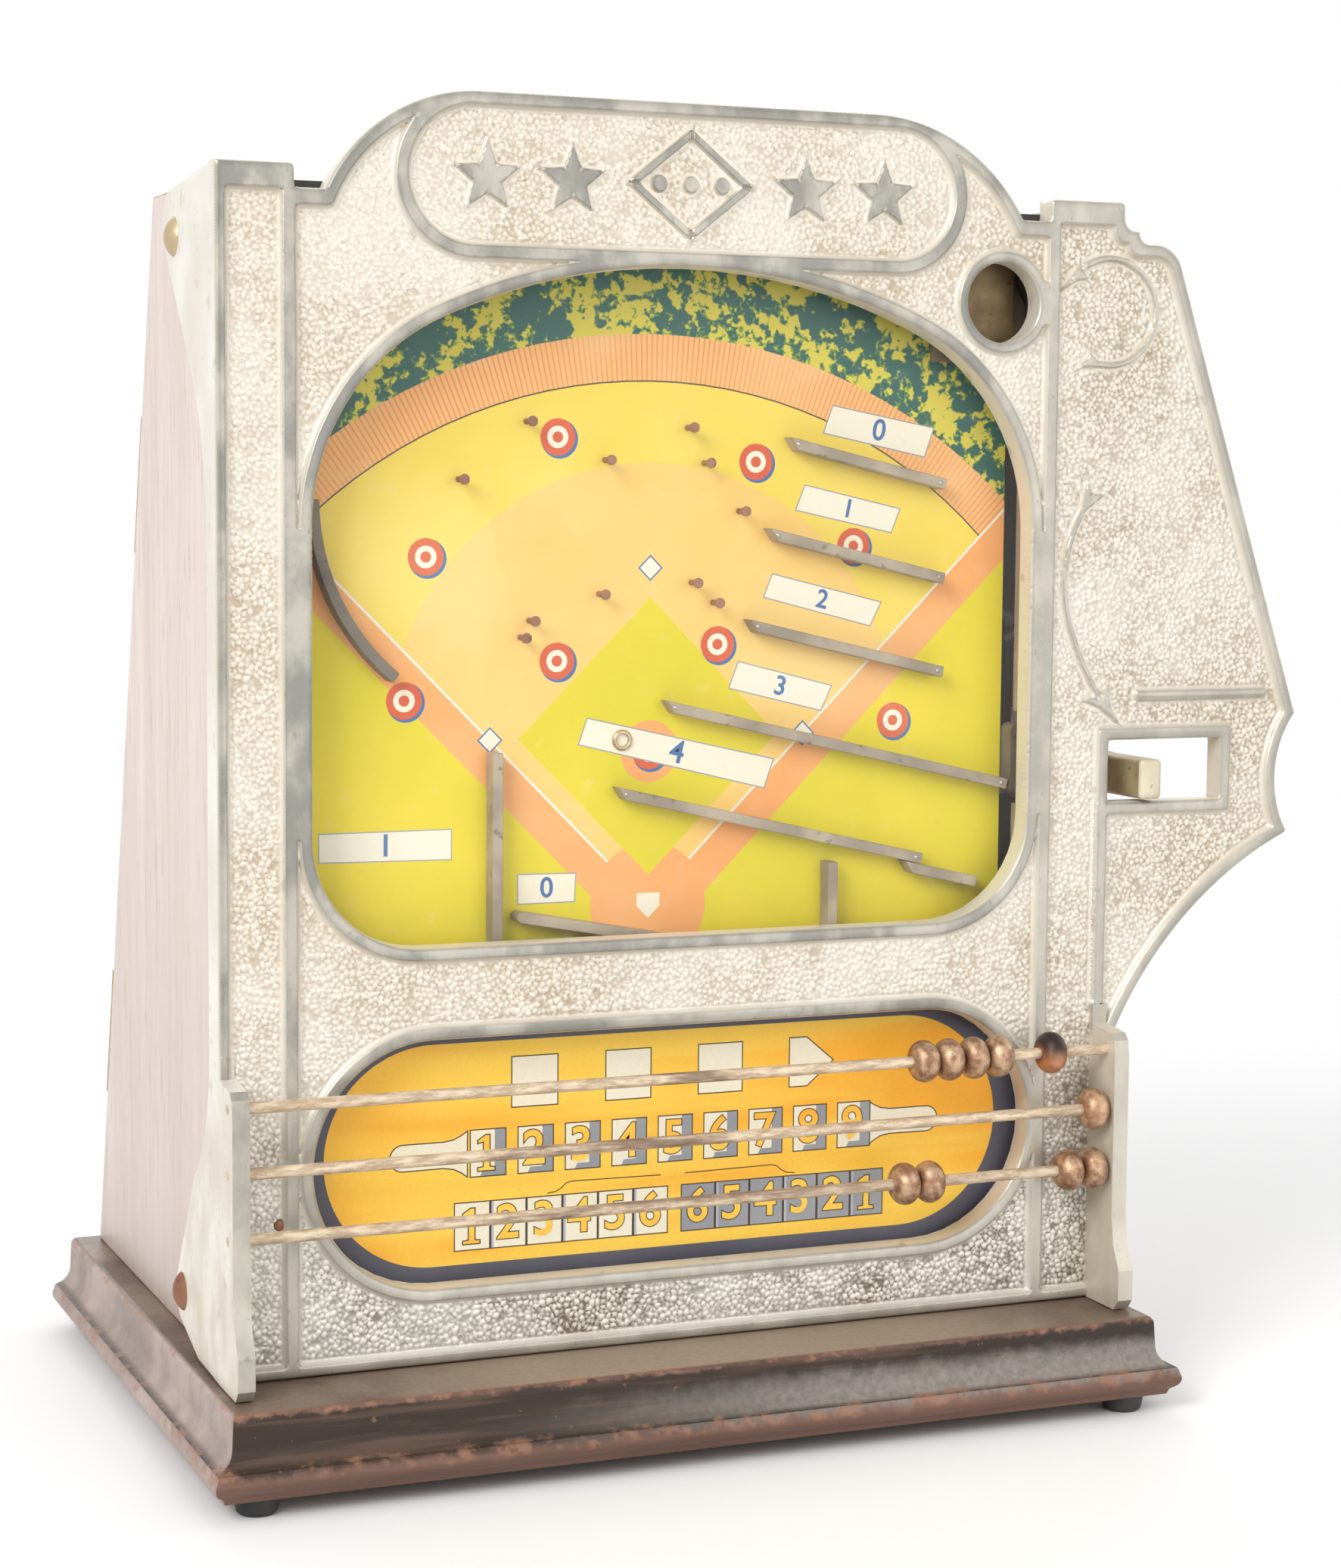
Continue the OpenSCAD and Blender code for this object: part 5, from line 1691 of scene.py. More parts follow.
    @staticmethod
    def _inside(points: Array, shape: Array) -> Array:
        """Finds the points inside a closed outline.

        Args:
            points: The points.
            shape: The outline.

        Returns:
            Whether each point is inside.
        """
        result = np.zeros(len(points), bool)
        x, y = points[:, 0], points[:, 1]
        for (x0, y0), (x1, y1) in zip(shape, np.roll(shape, -1, axis=0)):
            if y0 == y1:
                continue
            crosses = (y0 > y) != (y1 > y)
            result ^= crosses & (x < (x1 - x0) * (y - y0) / (y1 - y0) + x0)
        return result

    def _pebbles(self, points: Array, rng: np.random.Generator) -> Array:
        """Covers the front with uneven, close-set pebbles.

        Args:
            points: The net's points.
            rng: The source of the pebbles' places and heights.

        Returns:
            The pebbles' rise at each point, from 0 to 1.
        """
        low, high = points.min(0) - 5, points.max(0) + 5
        seeds = []
        for j, z in enumerate(np.arange(low[1], high[1], self.pebble * 0.86)):
            for x in np.arange(low[0], high[0], self.pebble) + (j % 2) * self.pebble / 2:
                seeds.append((x, z))
        seeds = np.array(seeds) + rng.normal(0, self.pebble * 0.3, (len(seeds), 2))
        crown = rng.uniform(0.5, 1.0, len(seeds))
        tree = search_tree(seeds)
        dome = np.empty(len(points))
        for n, (x, z) in enumerate(points):
            (_, i, first), (_, _, second) = tree.find_n((x, z, 0.0), 2)
            gap = min(1.0, (second - first) / (0.62 * self.pebble))
            dome[n] = crown[i] * math.sqrt(gap) * (1.0 - 0.22 * (first / self.pebble) ** 2)
        return dome

    def _piece(
        self,
        name: str,
        solid: Array,
        faces: Array,
        attributes: dict[str, Array],
        border: set[tuple[int, int]],
    ) -> None:
        """Makes one piece of the relief and the walls under its outer edges.

        Args:
            name: The piece's name.
            solid: All points of the relief.
            faces: The piece's triangles.
            attributes: Numbers at each point.
            border: The edges of the whole net that only one triangle has.
        """
        used, flat = np.unique(faces, return_inverse=True)
        faces = flat.reshape(-1, 3)
        points = solid[used]
        turned = unit_normals(points[faces])[:, 1] > 0
        faces[turned] = faces[turned][:, ::-1]
        walls = []
        for i, j in rim_of(faces).tolist():
            x = (points[i, 0] + points[j, 0]) / 2
            seam = tuple(sorted((int(used[i]), int(used[j])))) not in border
            joint = abs(abs(x) - self.half_width) < 0.1 and abs(points[i, 0] - points[j, 0]) < 0.05
            if not (seam or joint or self._at_ear((points[i, [0, 2]], points[j, [0, 2]]))):
                walls.append((i, j))
        lower = np.unique(walls)
        place = {v: len(points) + n for n, v in enumerate(lower.tolist())}
        back = points[lower]
        back[:, 1] = CASTING_T
        walls = [(j, i, place[i], place[j]) for i, j in walls]
        behind = {"rib": 0.0, "relief": 0.6}
        values = {
            key: np.append(value[used], np.full(len(back), behind[key])) for key, value in attributes.items()
        }
        points = np.concatenate([points, back])
        obj = self.shop.mesh(name, points, [*faces.tolist(), *walls], [Finishes.CAST], None, values, 60.0)
        self.shop.place(obj, "cast_aluminium", "front_casting")

    def _flanges(self) -> None:
        """Makes the flanges and the flat back from the CAD casting's own faces, and the ears."""
        normal, middle, near = unit_normals(self.tris), self.tris.mean(1), self.near
        side = (np.abs(normal[:, 0]) > 0.99) & (np.abs(np.abs(middle[:, 0]) - self.half_width) < near)
        back = (normal[:, 1] > 0.99) & (np.abs(middle[:, 1] - CASTING_T) < near)
        chosen = self.tris[side | back | (middle[:, 1] > CASTING_T + near)]
        flat = chosen.reshape(-1, 3).copy()
        lip = (np.abs(flat[:, 1]) < near) & (np.abs(np.abs(flat[:, 0]) - self.half_width) < near)
        lip &= flat[:, 2] > self.ear_root - 0.5
        flat[:, 1] = np.where(lip, self.edge_round, flat[:, 1])
        over = (flat[:, 2] > self.ear_cap) & (flat[:, 2] < self.ear_root + 0.5)
        over &= flat[:, 1] < self.edge_round + 0.05
        flat[:, 2] = np.where(over, self.ear_cap - 0.1, flat[:, 2])
        work = bmesh.new()
        spots = [work.verts.new(p) for p in self.shop.face.to_part(flat)]
        for i in range(0, len(spots), 3):
            work.faces.new(spots[i : i + 3])
        bmesh.ops.remove_doubles(work, verts=work.verts, dist=1e-5)
        self._ears(work)
        self.shop.round_edges(work, 20.0, 0.6, 3)
        obj = self.shop.from_work(work, "front_casting_flanges", [Finishes.FLANGE], 50)
        rib = np.zeros(len(obj.data.vertices))
        for polygon in obj.data.polygons:
            if polygon.normal.y < -0.5:
                rib[list(polygon.vertices)] = 1.0
        relief = np.array([0.32 if v.co.x > 0 else 0.42 for v in obj.data.vertices])
        self.shop.carry(obj.data, {"rib": rib, "relief": relief})
        self.shop.place(obj, "cast_aluminium", "front_casting")

    def _ears(self, work: bmesh.types.BMesh) -> None:
        """Adds the two ears, as plates with the outline that they have from the side.

        Args:
            work: The mesh that they are added to.
        """
        lift = float(self.tris[:, :, 2].min())
        root = self.rib_rise + 0.4
        outline = [
            (root, lift), (root, self.ear_cap), (0.0, self.ear_cap), (-10.3, 79.4), (-12.3, 77.5),
            (-13.0, 73.0), (-13.0, 27.0), (-14.2, 19.0), (-17.5, 12.0), (-17.5, lift + 3.0), (-15.1, lift),
        ]
        count, side = len(outline), self.half_width + self.ear_proud
        for way in (-1, 1):
            plate = [(way * x, y, z) for x in (self.ear_x, side) for y, z in outline]
            spots = [work.verts.new(p) for p in self.shop.face.to_part(plate)]
            faces = [work.faces.new(spots[:count]), work.faces.new(spots[count:])]
            faces += [work.faces.new([spots[k] for k in face]) for face in grid_faces(2, count, False)]
            bmesh.ops.recalc_face_normals(work, faces=faces)

    def _ear_roots(self) -> None:
        """Carries the edge ribs on down to the ears, which start lower than the CAD front's."""
        inner = self.half_width - self.edge_rib
        turn, slope = np.radians(np.linspace(0, 90, 7)), np.linspace(-0.95, 0.35, 6)
        rounded = self.half_width + self.edge_round * (np.sin(turn) - 1)
        fall = self.rib_rise * smooth(-slope, -0.35, 0.95)
        across = np.concatenate([[self.ear_x], inner + slope, rounded])
        depth = np.concatenate([[self.rib_rise], fall, self.edge_round * (1 - np.cos(turn))])
        bare = smooth(across - inner, -0.25, 0.35) * smooth(self.half_width - across, 0.05, 0.55)
        foot, count = self.ear_cap - 2.0, len(across)
        left = np.concatenate(
            [np.stack([-across, depth, np.full(count, z)], 1) for z in (foot, self.ear_root)]
        )
        faces = [(k, k + count, k + count + 1, k + 1) for k in range(count - 1)]
        inset = self.ear_x - 0.05
        block = [
            (x, y, z)
            for x in (inset, self.half_width)
            for y in (0.0, self.rib_rise + 0.5)
            for z in (foot, self.ear_root)
        ]
        for face in ((0, 4, 5, 1), (1, 5, 7, 3), (4, 6, 7, 5), (0, 1, 3, 2)):
            faces.append(tuple(len(left) + k for k in face))
        points = np.concatenate([left, block])
        bare = np.concatenate([bare, bare, [1.0, 1.0, 0.0, 0.0] * 2])
        values = {"rib": bare, "relief": np.full(len(points), 0.5)}
        obj = self.shop.mesh("front_casting_ear_roots", points, faces, [Finishes.CAST], None, values, 50.0)
        self.shop.place(obj, "cast_aluminium", "front_casting")


# Prints


@dataclass
class Print:
    """A flat print: regions of ink, each over the ones before it, cut into one net of faces."""

    depth: float
    inks: dict[Ink, Finish] = field(default_factory=lambda: INKS)
    regions: list[tuple[Ink, list[Point]]] = field(default_factory=list)

    def add(self, ink: Ink, shape: Sequence[Point]) -> None:
        """Lays a region of ink over the ones before."""
        self.regions.append((ink, [tuple(map(float, p)) for p in shape]))

    def frame(self, ink: Ink, shape: Sequence[Point], border: Ink, width: float) -> None:
        """Lays a region with a border.

        Args:
            ink: The inner ink.
            shape: The outer outline.
            border: The border's ink.
            width: The border's width.
        """
        self.add(border, shape)
        p = np.asarray(ordered(shape), float)
        inner = []
        for before, here, after in zip(np.roll(p, 1, axis=0), p, np.roll(p, -1, axis=0)):
            one, two = left_of(before, here), left_of(here, after)
            inner.append(tuple(here + (one + two) / (1 + one @ two) * width))
        self.add(ink, inner)

    def piece(self, shop: Workshop, name: str, slot: str, thickness: float, *nodes: str) -> Piece:
        """Makes the print as one sheet.

        Args:
            shop: The workshop.
            name: The piece's name.
            slot: The record's material slot.
            thickness: The sheet's thickness.
            nodes: The CAD nodes that it replaces.

        Returns:
            The piece.
        """
        spots, loops = [], []
        for _, shape in self.regions:
            loops.append(list(range(len(spots), len(spots) + len(shape))))
            spots.extend(ordered(shape))
        out = delaunay_2d_cdt([Vector(p) for p in spots], [], loops, 1, 1e-4)
        points = np.array([tuple(v) for v in out[0]])
        faces, inks, order = [], [], list(Ink)
        for face, owners in zip(out[2], out[5]):
            if owners and 0 in owners:
                faces.append(list(face))
                inks.append(order.index(self.regions[max(owners)][0]))
        used = sorted(set(inks))
        solid = np.stack([points[:, 0], np.full(len(points), self.depth), points[:, 1]], 1)
        count = len(solid)
        ends = dict.fromkeys((i, j) for face in faces for i, j in zip(face, face[1:] + face[:1]))
        rim = [(i, j) for i, j in ends if (j, i) not in ends]
        back = solid + np.array([0, thickness, 0])
        walls = [(i, i + count, j + count, j) for i, j in rim]
        behind = [[v + count for v in face[::-1]] for face in faces]
        rows = [used.index(k) for k in inks] + [0] * (len(walls) + len(behind))
        finishes = [self.inks[order[k]] for k in used]
        points = np.concatenate([solid, back])
        obj = shop.mesh(name, points, [*faces, *walls, *behind], finishes, rows, None, 30.0)
        work = bmesh.new()
        work.from_mesh(obj.data)
        bmesh.ops.delete(work, geom=[v for v in work.verts if not v.link_faces], context="VERTS")
        bmesh.ops.recalc_face_normals(work, faces=work.faces)
        work.to_mesh(obj.data)
        work.free()
        return shop.place(obj, slot, *nodes)


@dataclass
class Numerals:
    """Plain numbers in a thin layer of ink."""

    depth: float
    cap_share: float = 0.72
    ink_height: float = 0.02
    marks: list[tuple[str, float, float, float, float]] = field(default_factory=list)

    def add(self, text: str, x: float, z: float, height: float, turn: float = 0.0) -> None:
        """Notes a number to print at a place, with its height in millimetres and its turn in degrees."""
        self.marks.append((text, x, z, height, turn))

    def piece(self, shop: Workshop, name: str, slot: str, finish: Finish, bold: float = 0.12) -> Piece:
        """Makes all the numbers one piece.

        Args:
            shop: The workshop.
            name: The piece's name.
            slot: The record's material slot.
            finish: The ink.
            bold: How far the strokes are widened on each side, in millimetres.

        Returns:
            The piece.
        """
        points, faces = [], []
        for text, x, z, height, turn in self.marks:
            curve = bpy.data.curves.new("number", "FONT")
            curve.body = text
            curve.align_x = "CENTER"
            curve.align_y = "CENTER"
            curve.size = height / self.cap_share
            curve.offset = bold
            curve.extrude = self.ink_height
            holder = bpy.data.objects.new("number", curve)
            bpy.context.scene.collection.objects.link(holder)
            graph = bpy.context.evaluated_depsgraph_get()
            flat = bpy.data.meshes.new_from_object(holder.evaluated_get(graph), depsgraph=graph)
            c, s = math.cos(math.radians(turn)), math.sin(math.radians(turn))
            start = len(points)
            for v in flat.vertices:
                points.append((x + c * v.co.x - s * v.co.y, self.depth - v.co.z, z + s * v.co.x + c * v.co.y))
            faces.extend([start + i for i in f.vertices] for f in flat.polygons)
            bpy.data.objects.remove(holder)
            bpy.data.curves.remove(curve)
            bpy.data.meshes.remove(flat)
        return shop.place(shop.mesh(name, points, faces, [finish], sharp=30.0), slot)


@dataclass
class Playfield:
    """The printed ball field, its rails, pins and glass."""

    depth: float = 15.6
    thickness: float = 0.4
    left: float = -113.5
    right: float = 102.4
    low: float = 100.5
    high: float = 300.0
    home: Point = (-6.0, 119.0)
    diamond: float = 46.0
    nail_inset: float = 2.6

    def build(self, shop: Workshop) -> None:
        """Makes the sheet and its numbers, and dresses the rails and pins."""
        self._sheet(shop)
        rails = (
            "upper_shelf_rail", "middle_shelf_rail", "lower_shelf_rail", "launch_rail", "return_rail",
            "step_rail", "left_divider", "right_divider", "round_end_rail",
        )
        for node in rails:
            shop.soften(node, [Finishes.RAIL], 0.3)
        shop.soften("curved_deflector", [Finishes.DARK_RAIL], 0.3)
        for node, finish in (
            ("field_pins", Finishes.RUST), ("pocket_eyelet", Finishes.BRASS),
            ("coin_plate", Finishes.COIN_PLATE), ("playfield_board", Finishes.RAW),
            ("board_battens", Finishes.RAW),
        ):
            shop.soften(node, [finish], 0.15)
        strips = shop.soften("side_strips", [Finishes.STRIP], 0.15)
        # The right strip takes the lighter copy as painted light; the left keeps the darker wood.
        shop.repaint(strips, Finishes.PALE_STRIP, lambda p: p[0] > 0)
        shop.soften("window_glass", [Finishes.GLASS], 0.3)
        ends = [spot for node in rails[:5] for spot in self._rail_ends(shop, node)]
        NailHeads(0.6).build(shop, "rail_nails", ends, shop.slot_of("field_pins"), Finishes.NICKEL)

    def _rail_ends(self, shop: Workshop, node: str) -> list[Array]:
        """Places on the front edge of a straight rail, a little in from its two ends.

        Args:
            shop: The workshop.
            node: The rail.

        Returns:
            The two places, in face millimetres.
        """
        points = shop.triangles(node).reshape(-1, 3)
        front = points[points[:, 1] < points[:, 1].min() + 0.1]
        middle = (front.min(0) + front.max(0)) / 2
        flat = np.unique(front.round(3), axis=0)[:, [0, 2]] - middle[[0, 2]]
        along = np.linalg.svd(flat, full_matrices=False)[2][0]
        reach = np.abs(flat @ along).max() - self.nail_inset
        return [middle + way * reach * np.array([along[0], 0.0, along[1]]) for way in (-1, 1)]

    def _sheet(self, shop: Workshop) -> None:
        """Lays out a plain plan of a ball field and the numbered labels."""
        hx, hz = self.home
        d, far = self.diamond, 190.0
        x, _, z = shop.face.to_part((hx, 0, hz)).tolist()
        page = Print(self.depth, INKS | {Ink.FENCE: FenceFinish("print_fence", (x, z))})
        page.add(Ink.HEDGE, box(self.left, self.right, self.low, self.high))
        for ink, radius in ((Ink.FENCE, 155), (Ink.LINE, 142.6), (Ink.YELLOW, 142.2)):
            page.add(ink, disc(self.home, radius, 120))
        page.add(Ink.SAND, disc((hx, hz + d), d * 1.62, 90))
        for way in (-1, 1):
            page.add(Ink.ORANGE, ribbon([(hx + 5 * way, hz - 5), (hx + far * way, hz + far - 10)], 15))
        start, corner, foot = (12, hz - 2), (12 + far, hz - 2 + far), hz - 60
        lawn = [start, corner, (far + 60, foot), (12, foot)]
        page.add(Ink.LIME, [(hx - x, z) for x, z in lawn])
        page.add(Ink.LIME, [(hx + x, z) for x, z in (lawn[:1] + lawn[:0:-1])])
        for way in (-1, 1):
            page.add(Ink.CREAM, ribbon([(hx, hz), (hx + far * way, hz + far)], 0.7))
        page.add(Ink.ORANGE, disc((hx, hz), 17, 60))
        page.add(Ink.LIME, self._square(hx, hz + d, d - 8))
        page.add(Ink.ORANGE, disc((hx, hz + d - 4), 8.5, 45))
        page.add(Ink.CREAM, ribbon([(hx - 3, hz + d - 4), (hx + 3, hz + d - 4)], 1.4))
        for bx, bz in ((hx + d, hz + d), (hx, hz + 2 * d), (hx - d, hz + d)):
            page.frame(Ink.CREAM, self._square(bx, bz, 3.6), Ink.BLUE, 0.4)
        plate = [(-3.4, 3), (-3.4, -0.6), (0, -4), (3.4, -0.6), (3.4, 3)]
        page.add(Ink.CREAM, [(hx + x, hz + z) for x, z in plate])
        self._spots(page)
        numbers = Numerals(self.depth - 0.03)
        self._labels(page, numbers)
        page.piece(shop, "playfield_print", "field_paper", self.thickness, "playfield_sheet")
        numbers.piece(shop, "playfield_numbers", "field_paper", INKS[Ink.BLUE])

    @staticmethod
    def _square(x: float, z: float, half: float) -> list[Point]:
        """A square that stands on its corner."""
        return [(x, z - half), (x + half, z), (x, z + half), (x - half, z)]

    @staticmethod
    def _spots(page: Print) -> None:
        """Lays round markers over the field where fielders stand in a ball game."""
        for x, z in (
            (-70, 214), (-33, 246), (25, 240), (55, 217), (-33, 186), (14, 190),
            (-76, 176), (68, 168), (-6, 161),
        ):
            page.add(Ink.BLUE, disc((x + 0.5, z - 0.5), 5.3, 30))
            page.add(Ink.RED, disc((x, z), 5.0, 30))
            page.add(Ink.CREAM, disc((x, z), 3.0, 30))
            page.add(Ink.RED, disc((x, z), 1.5, 24))

    def _labels(self, page: Print, numbers: Numerals) -> None:
        """Lays the cream labels over their rails, each with a plain number.

        Args:
            page: The print.
            numbers: The numbers of the print.
        """
        labels = (
            ("0", ((45.1, 248.0), (76.9, 241.7), (79.8, 250.2), (48.0, 256.0)), 6.0),
            ("1", ((36.9, 226.7), (66.8, 220.5), (69.6, 227.5), (39.8, 234.0)), 5.2),
            ("2", ((27.5, 202.7), (60.6, 194.4), (64.1, 201.4), (30.2, 209.5)), 5.2),
            ("3", ((17.3, 177.7), (45.7, 170.9), (49.1, 178.2), (20.2, 185.4)), 5.4),
            ("4", ((-26.9, 163.1), (28.6, 149.7), (31.5, 158.1), (-24.3, 170.6)), 6.4),
            ("1", ((-99.6, 133.5), (-62.6, 133.1), (-62.6, 141.6), (-99.6, 141.5)), 6.0),
            ("0", ((-44.1, 120.2), (-27.4, 120.3), (-27.0, 128.4), (-44.2, 128.7)), 5.6),
        )
        for text, shape, height in labels:
            page.frame(Ink.CREAM, shape, Ink.SLATE, 0.35)
            p = np.array(shape)
            x, z = p.mean(0)
            turn = math.degrees(math.atan2(p[1][1] - p[0][1], p[1][0] - p[0][0]))
            numbers.add(text, x, z, height, turn)


@dataclass
class ScoreCard:
    """The printed card behind the rods: an amber field with bare labels and boxes of plain numbers."""

    middle: float = 54.2
    field_end: float = 69.5
    field_r: float = 30.2
    base_x: tuple[float, ...] = (-40.6, -13.4, 14.0)
    base_w: float = 13.6
    base_z: tuple[float, float] = (65.8, 80.0)
    inning_x: float = -53.9
    inning_pitch: float = 13.63
    inning_w: float = 10.5
    inning_z: tuple[float, float] = (47.5, 60.7)
    score_x: tuple[float, float] = (-63.6, 2.4)
    score_w: float = 10.37
    score_z: tuple[float, float] = (27.6, 41.0)
    line: float = 0.34
    digit_h: float = 9.5

    def build(self, shop: Workshop) -> None:
        """Makes the card and its numbers, and dresses the board behind it."""
        low, high = shop.box_of("score_card")
        page = Print(float(low[1]))
        page.add(Ink.NAVY, box(low[0], high[0], low[2], high[2]))
        right = arc((self.field_end, self.middle), self.field_r, -90, 90, 60)
        left = arc((-self.field_end, self.middle), self.field_r, 90, 270, 60)
        page.add(Ink.AMBER, right + left)
        for x in self.base_x:
            self._lined(page, Ink.CREAM, box(x - self.base_w / 2, x + self.base_w / 2, *self.base_z))
        self._lined(page, Ink.CREAM, [(34.8, 65.9), (40.5, 65.9), (48.8, 73.0), (40.3, 80.2), (34.8, 80.2)])
        outline, fill = layers = Numerals(page.depth - 0.03), Numerals(page.depth - 0.06)
        for way in (-1, 1):
            self._ribbon(page, way)
        for n in range(9):
            x = self.inning_x + n * self.inning_pitch
            self._inning(page, x)
            self._digit(page, layers, n + 1, x - 0.5, sum(self.inning_z) / 2)
        for n in range(6):
            for start, digit in zip(self.score_x, (n + 1, 6 - n)):
                x = start + n * self.score_w
                self._score(page, x, start > 0, n % 2 == 1)
                self._digit(page, layers, digit, x + self.score_w / 2 - 0.2, sum(self.score_z) / 2)
        page.piece(shop, "score_card_print", "card_paper", float(high[1] - low[1]), "score_card")
        outline.piece(shop, "score_card_number_lines", "card_paper", INKS[Ink.LINE], 0.48)
        fill.piece(shop, "score_card_numbers", "card_paper", INKS[Ink.AMBER], 0.2)
        shop.soften("score_backer", [Finishes.RAW], 0.3)

    def _lined(self, page: Print, ink: Ink, shape: Sequence[Point]) -> None:
        """Lays a region with the card's thin dark border."""
        page.frame(ink, shape, Ink.LINE, self.line)

    def _digit(self, page: Print, layers: Sequence[Numerals], digit: int, x: float, z: float) -> None:
        """Prints an outlined number, and draws the 1 with a flag and a foot.

        Args:
            page: The print.
            layers: The layers of the outline and of the fill.
            digit: The number.
            x: Its middle across.
            z: Its middle up.
        """
        if digit > 1:
            for layer in layers:
                layer.add(str(digit), x, z, self.digit_h)
            return
        foot = [(-0.28, -0.54), (0.28, -0.54), (0.28, -0.4), (0.13, -0.38)]
        flag = [
            (0.13, 0.54), (-0.03, 0.54), (-0.28, 0.38), (-0.28, 0.25), (-0.11, 0.29), (-0.11, -0.38),
            (-0.28, -0.4),
        ]
        self._lined(page, Ink.AMBER, [(x + self.digit_h * u, z + self.digit_h * v) for u, v in foot + flag])

    def _ribbon(self, page: Print, way: int) -> None:
        """Lays a bare ribbon that flares into an end box of the innings, and a thin bracket below it.

        Args:
            page: The print.
            way: -1 for the left side, 1 for the right side.
        """
        low, high = self.inning_z
        flare = [(59.6, low), (61.4, low + 1.3), (63.6, low + 2.5), (66.5, low + 3.0)]
        end = arc((77.9, self.middle), 3.8, -90, 90, 12)
        shape = flare + end + [(x, high - (z - low) * 0.9) for x, z in flare[::-1]]
        self._lined(page, Ink.CREAM, [(way * x, z) for x, z in shape])
        bracket = [(36.9, 41.6), (34.4, 41.9), (32.8, 42.8), (31.4, 44.0), (29.8, 44.4), (3.6, 44.1)]
        page.add(Ink.LINE, ribbon([(way * x, z) for x, z in bracket], 0.3))

    def _inning(self, page: Print, x: float) -> None:
        """Lays a box with a slate shade at its right and its foot.

        Args:
            page: The print.
            x: The box's middle across.
        """
        low, high = self.inning_z
        start, end = x - self.inning_w / 2, x + self.inning_w / 2
        self._lined(page, Ink.SLATE, box(start, end, low, high))
        edge, foot, shade = self.line, low + 1.8, start + 0.68 * self.inning_w
        lit = [(start + edge, low + edge), (start + 3.0, low + edge), (start + 3.7, foot), (shade, foot)]
        page.add(Ink.CREAM, lit + [(shade, high - edge), (start + edge, high - edge)])

    def _score(self, page: Print, x: float, dark: bool, stripe: bool) -> None:
        """Lays one box of a row of scores.

        Args:
            page: The print.
            x: The box's left side.
            dark: Whether the box is slate.
            stripe: Whether a lilac stripe starts the box.
        """
        low, high = self.score_z
        self._lined(page, Ink.SLATE if dark else Ink.CREAM, box(x, x + self.score_w, low, high))
        if stripe:
            page.add(Ink.LILAC, box(x + self.line, x + 1.0, low + self.line, high - self.line))


@dataclass
class ScoreRods:
    """The rods between the ears and the beads on them."""

    depth: float = -8.0
    rod_radius: float = 1.6
    half: float = 130.4
    heights: Triple = (40.4, 57.5, 74.6)
    bead_radius: float = 5.9
    bead_width: float = 7.4
    bore: float = 1.7

    def build(self, shop: Workshop) -> None:
        """Turns the rods and the beads."""
        r, h = self.rod_radius, self.half
        steps = np.linspace(-h + 0.3, h - 0.3, 60)
        profile = [(-h, 0.001), (-h, r - 0.3), *((x, r) for x in steps), (h, r - 0.3), (h, 0.001)]
        for name, z in zip(("bottom", "middle", "top"), self.heights):
            node = f"{name}_score_rod"
            obj = shop.lathe(node + "_turned", profile, (0, self.depth, z), Finishes.ROD, 20)
            shop.place(obj, "tarnished_rod", node)
        worn = {"run_bead_5": Finishes.BURNT, "inning_bead": Finishes.COPPER}
        for node in sorted(n for n in shop.nodes if "_bead" in n):
            low, high = shop.box_of(node)
            finish = worn.get(node, Finishes.BRONZE)
            obj = shop.lathe(node + "_turned", self._bead(), (low + high) / 2, finish, 44)
            shop.place(obj, shop.slot_of(node), node, body=node)

    def _bead(self) -> list[Point]:
        """A bead's outline: a round belly and a countersunk bore."""
        r = self.bead_width / 2
        ring = self.bead_radius - r
        belly = [(r * math.cos(a), ring + r * math.sin(a)) for a in np.radians(np.linspace(-8, 188, 34))]
        mouth, near, far = 2.35, belly[0][0], belly[-1][0]
        bore = [(far + 0.9, self.bore), (near - 0.9, self.bore)]
        return [(near - 0.25, mouth), *belly, (far + 0.25, mouth), *bore]


@dataclass
class Cabinet:
    """The wooden case, its base, feet and screws."""

    rusty_below: float = 150.0
    board_rise: float = 1.3
    panel_rise: float = 2.9
    rivet: Triple = (-114.2, 2.2, 41.2)

    def build(self, shop: Workshop) -> None:
        """Rounds and stains the boards, and dresses the small pieces."""
        shop.soften("base_plinth", [Finishes.BASE], 0.9, 3)
        for node in ("left_side_panel", "right_side_panel"):
            panel = shop.soften(node, [Finishes.MAHOGANY, Finishes.PANEL_EDGE], 0.6, 2)
            self._raise_top(panel, self.panel_rise)
        self._raise_top(shop.soften("top_board", [Finishes.BLACK], 0.5), self.board_rise)
        shop.soften("door_stops", [Finishes.RAW], 0.4)
        shop.soften("rubber_feet", [Finishes.RUBBER], 0.3)
        shop.soften("foot_screws", [Finishes.STEEL], 0.1)
        screws = shop.soften("flange_screws", [Finishes.BRASS], 0.15)
        shop.repaint(screws, Finishes.RUST, lambda p: p[2] < self.rusty_below)
        slot = shop.slot_of("flange_screws")
        NailHeads(1.7, 0.8).build(shop, "column_rivet", [self.rivet], slot, Finishes.RUST)

    @staticmethod
    def _raise_top(obj: Piece, rise: float) -> None:
        """Lifts the top of a board.

        Args:
            obj: The board.
            rise: The lift, in millimetres.
        """
        top = max(v.co.z for v in obj.data.vertices)
        for v in obj.data.vertices:
            if v.co.z > top - MM:
                v.co.z += rise * MM


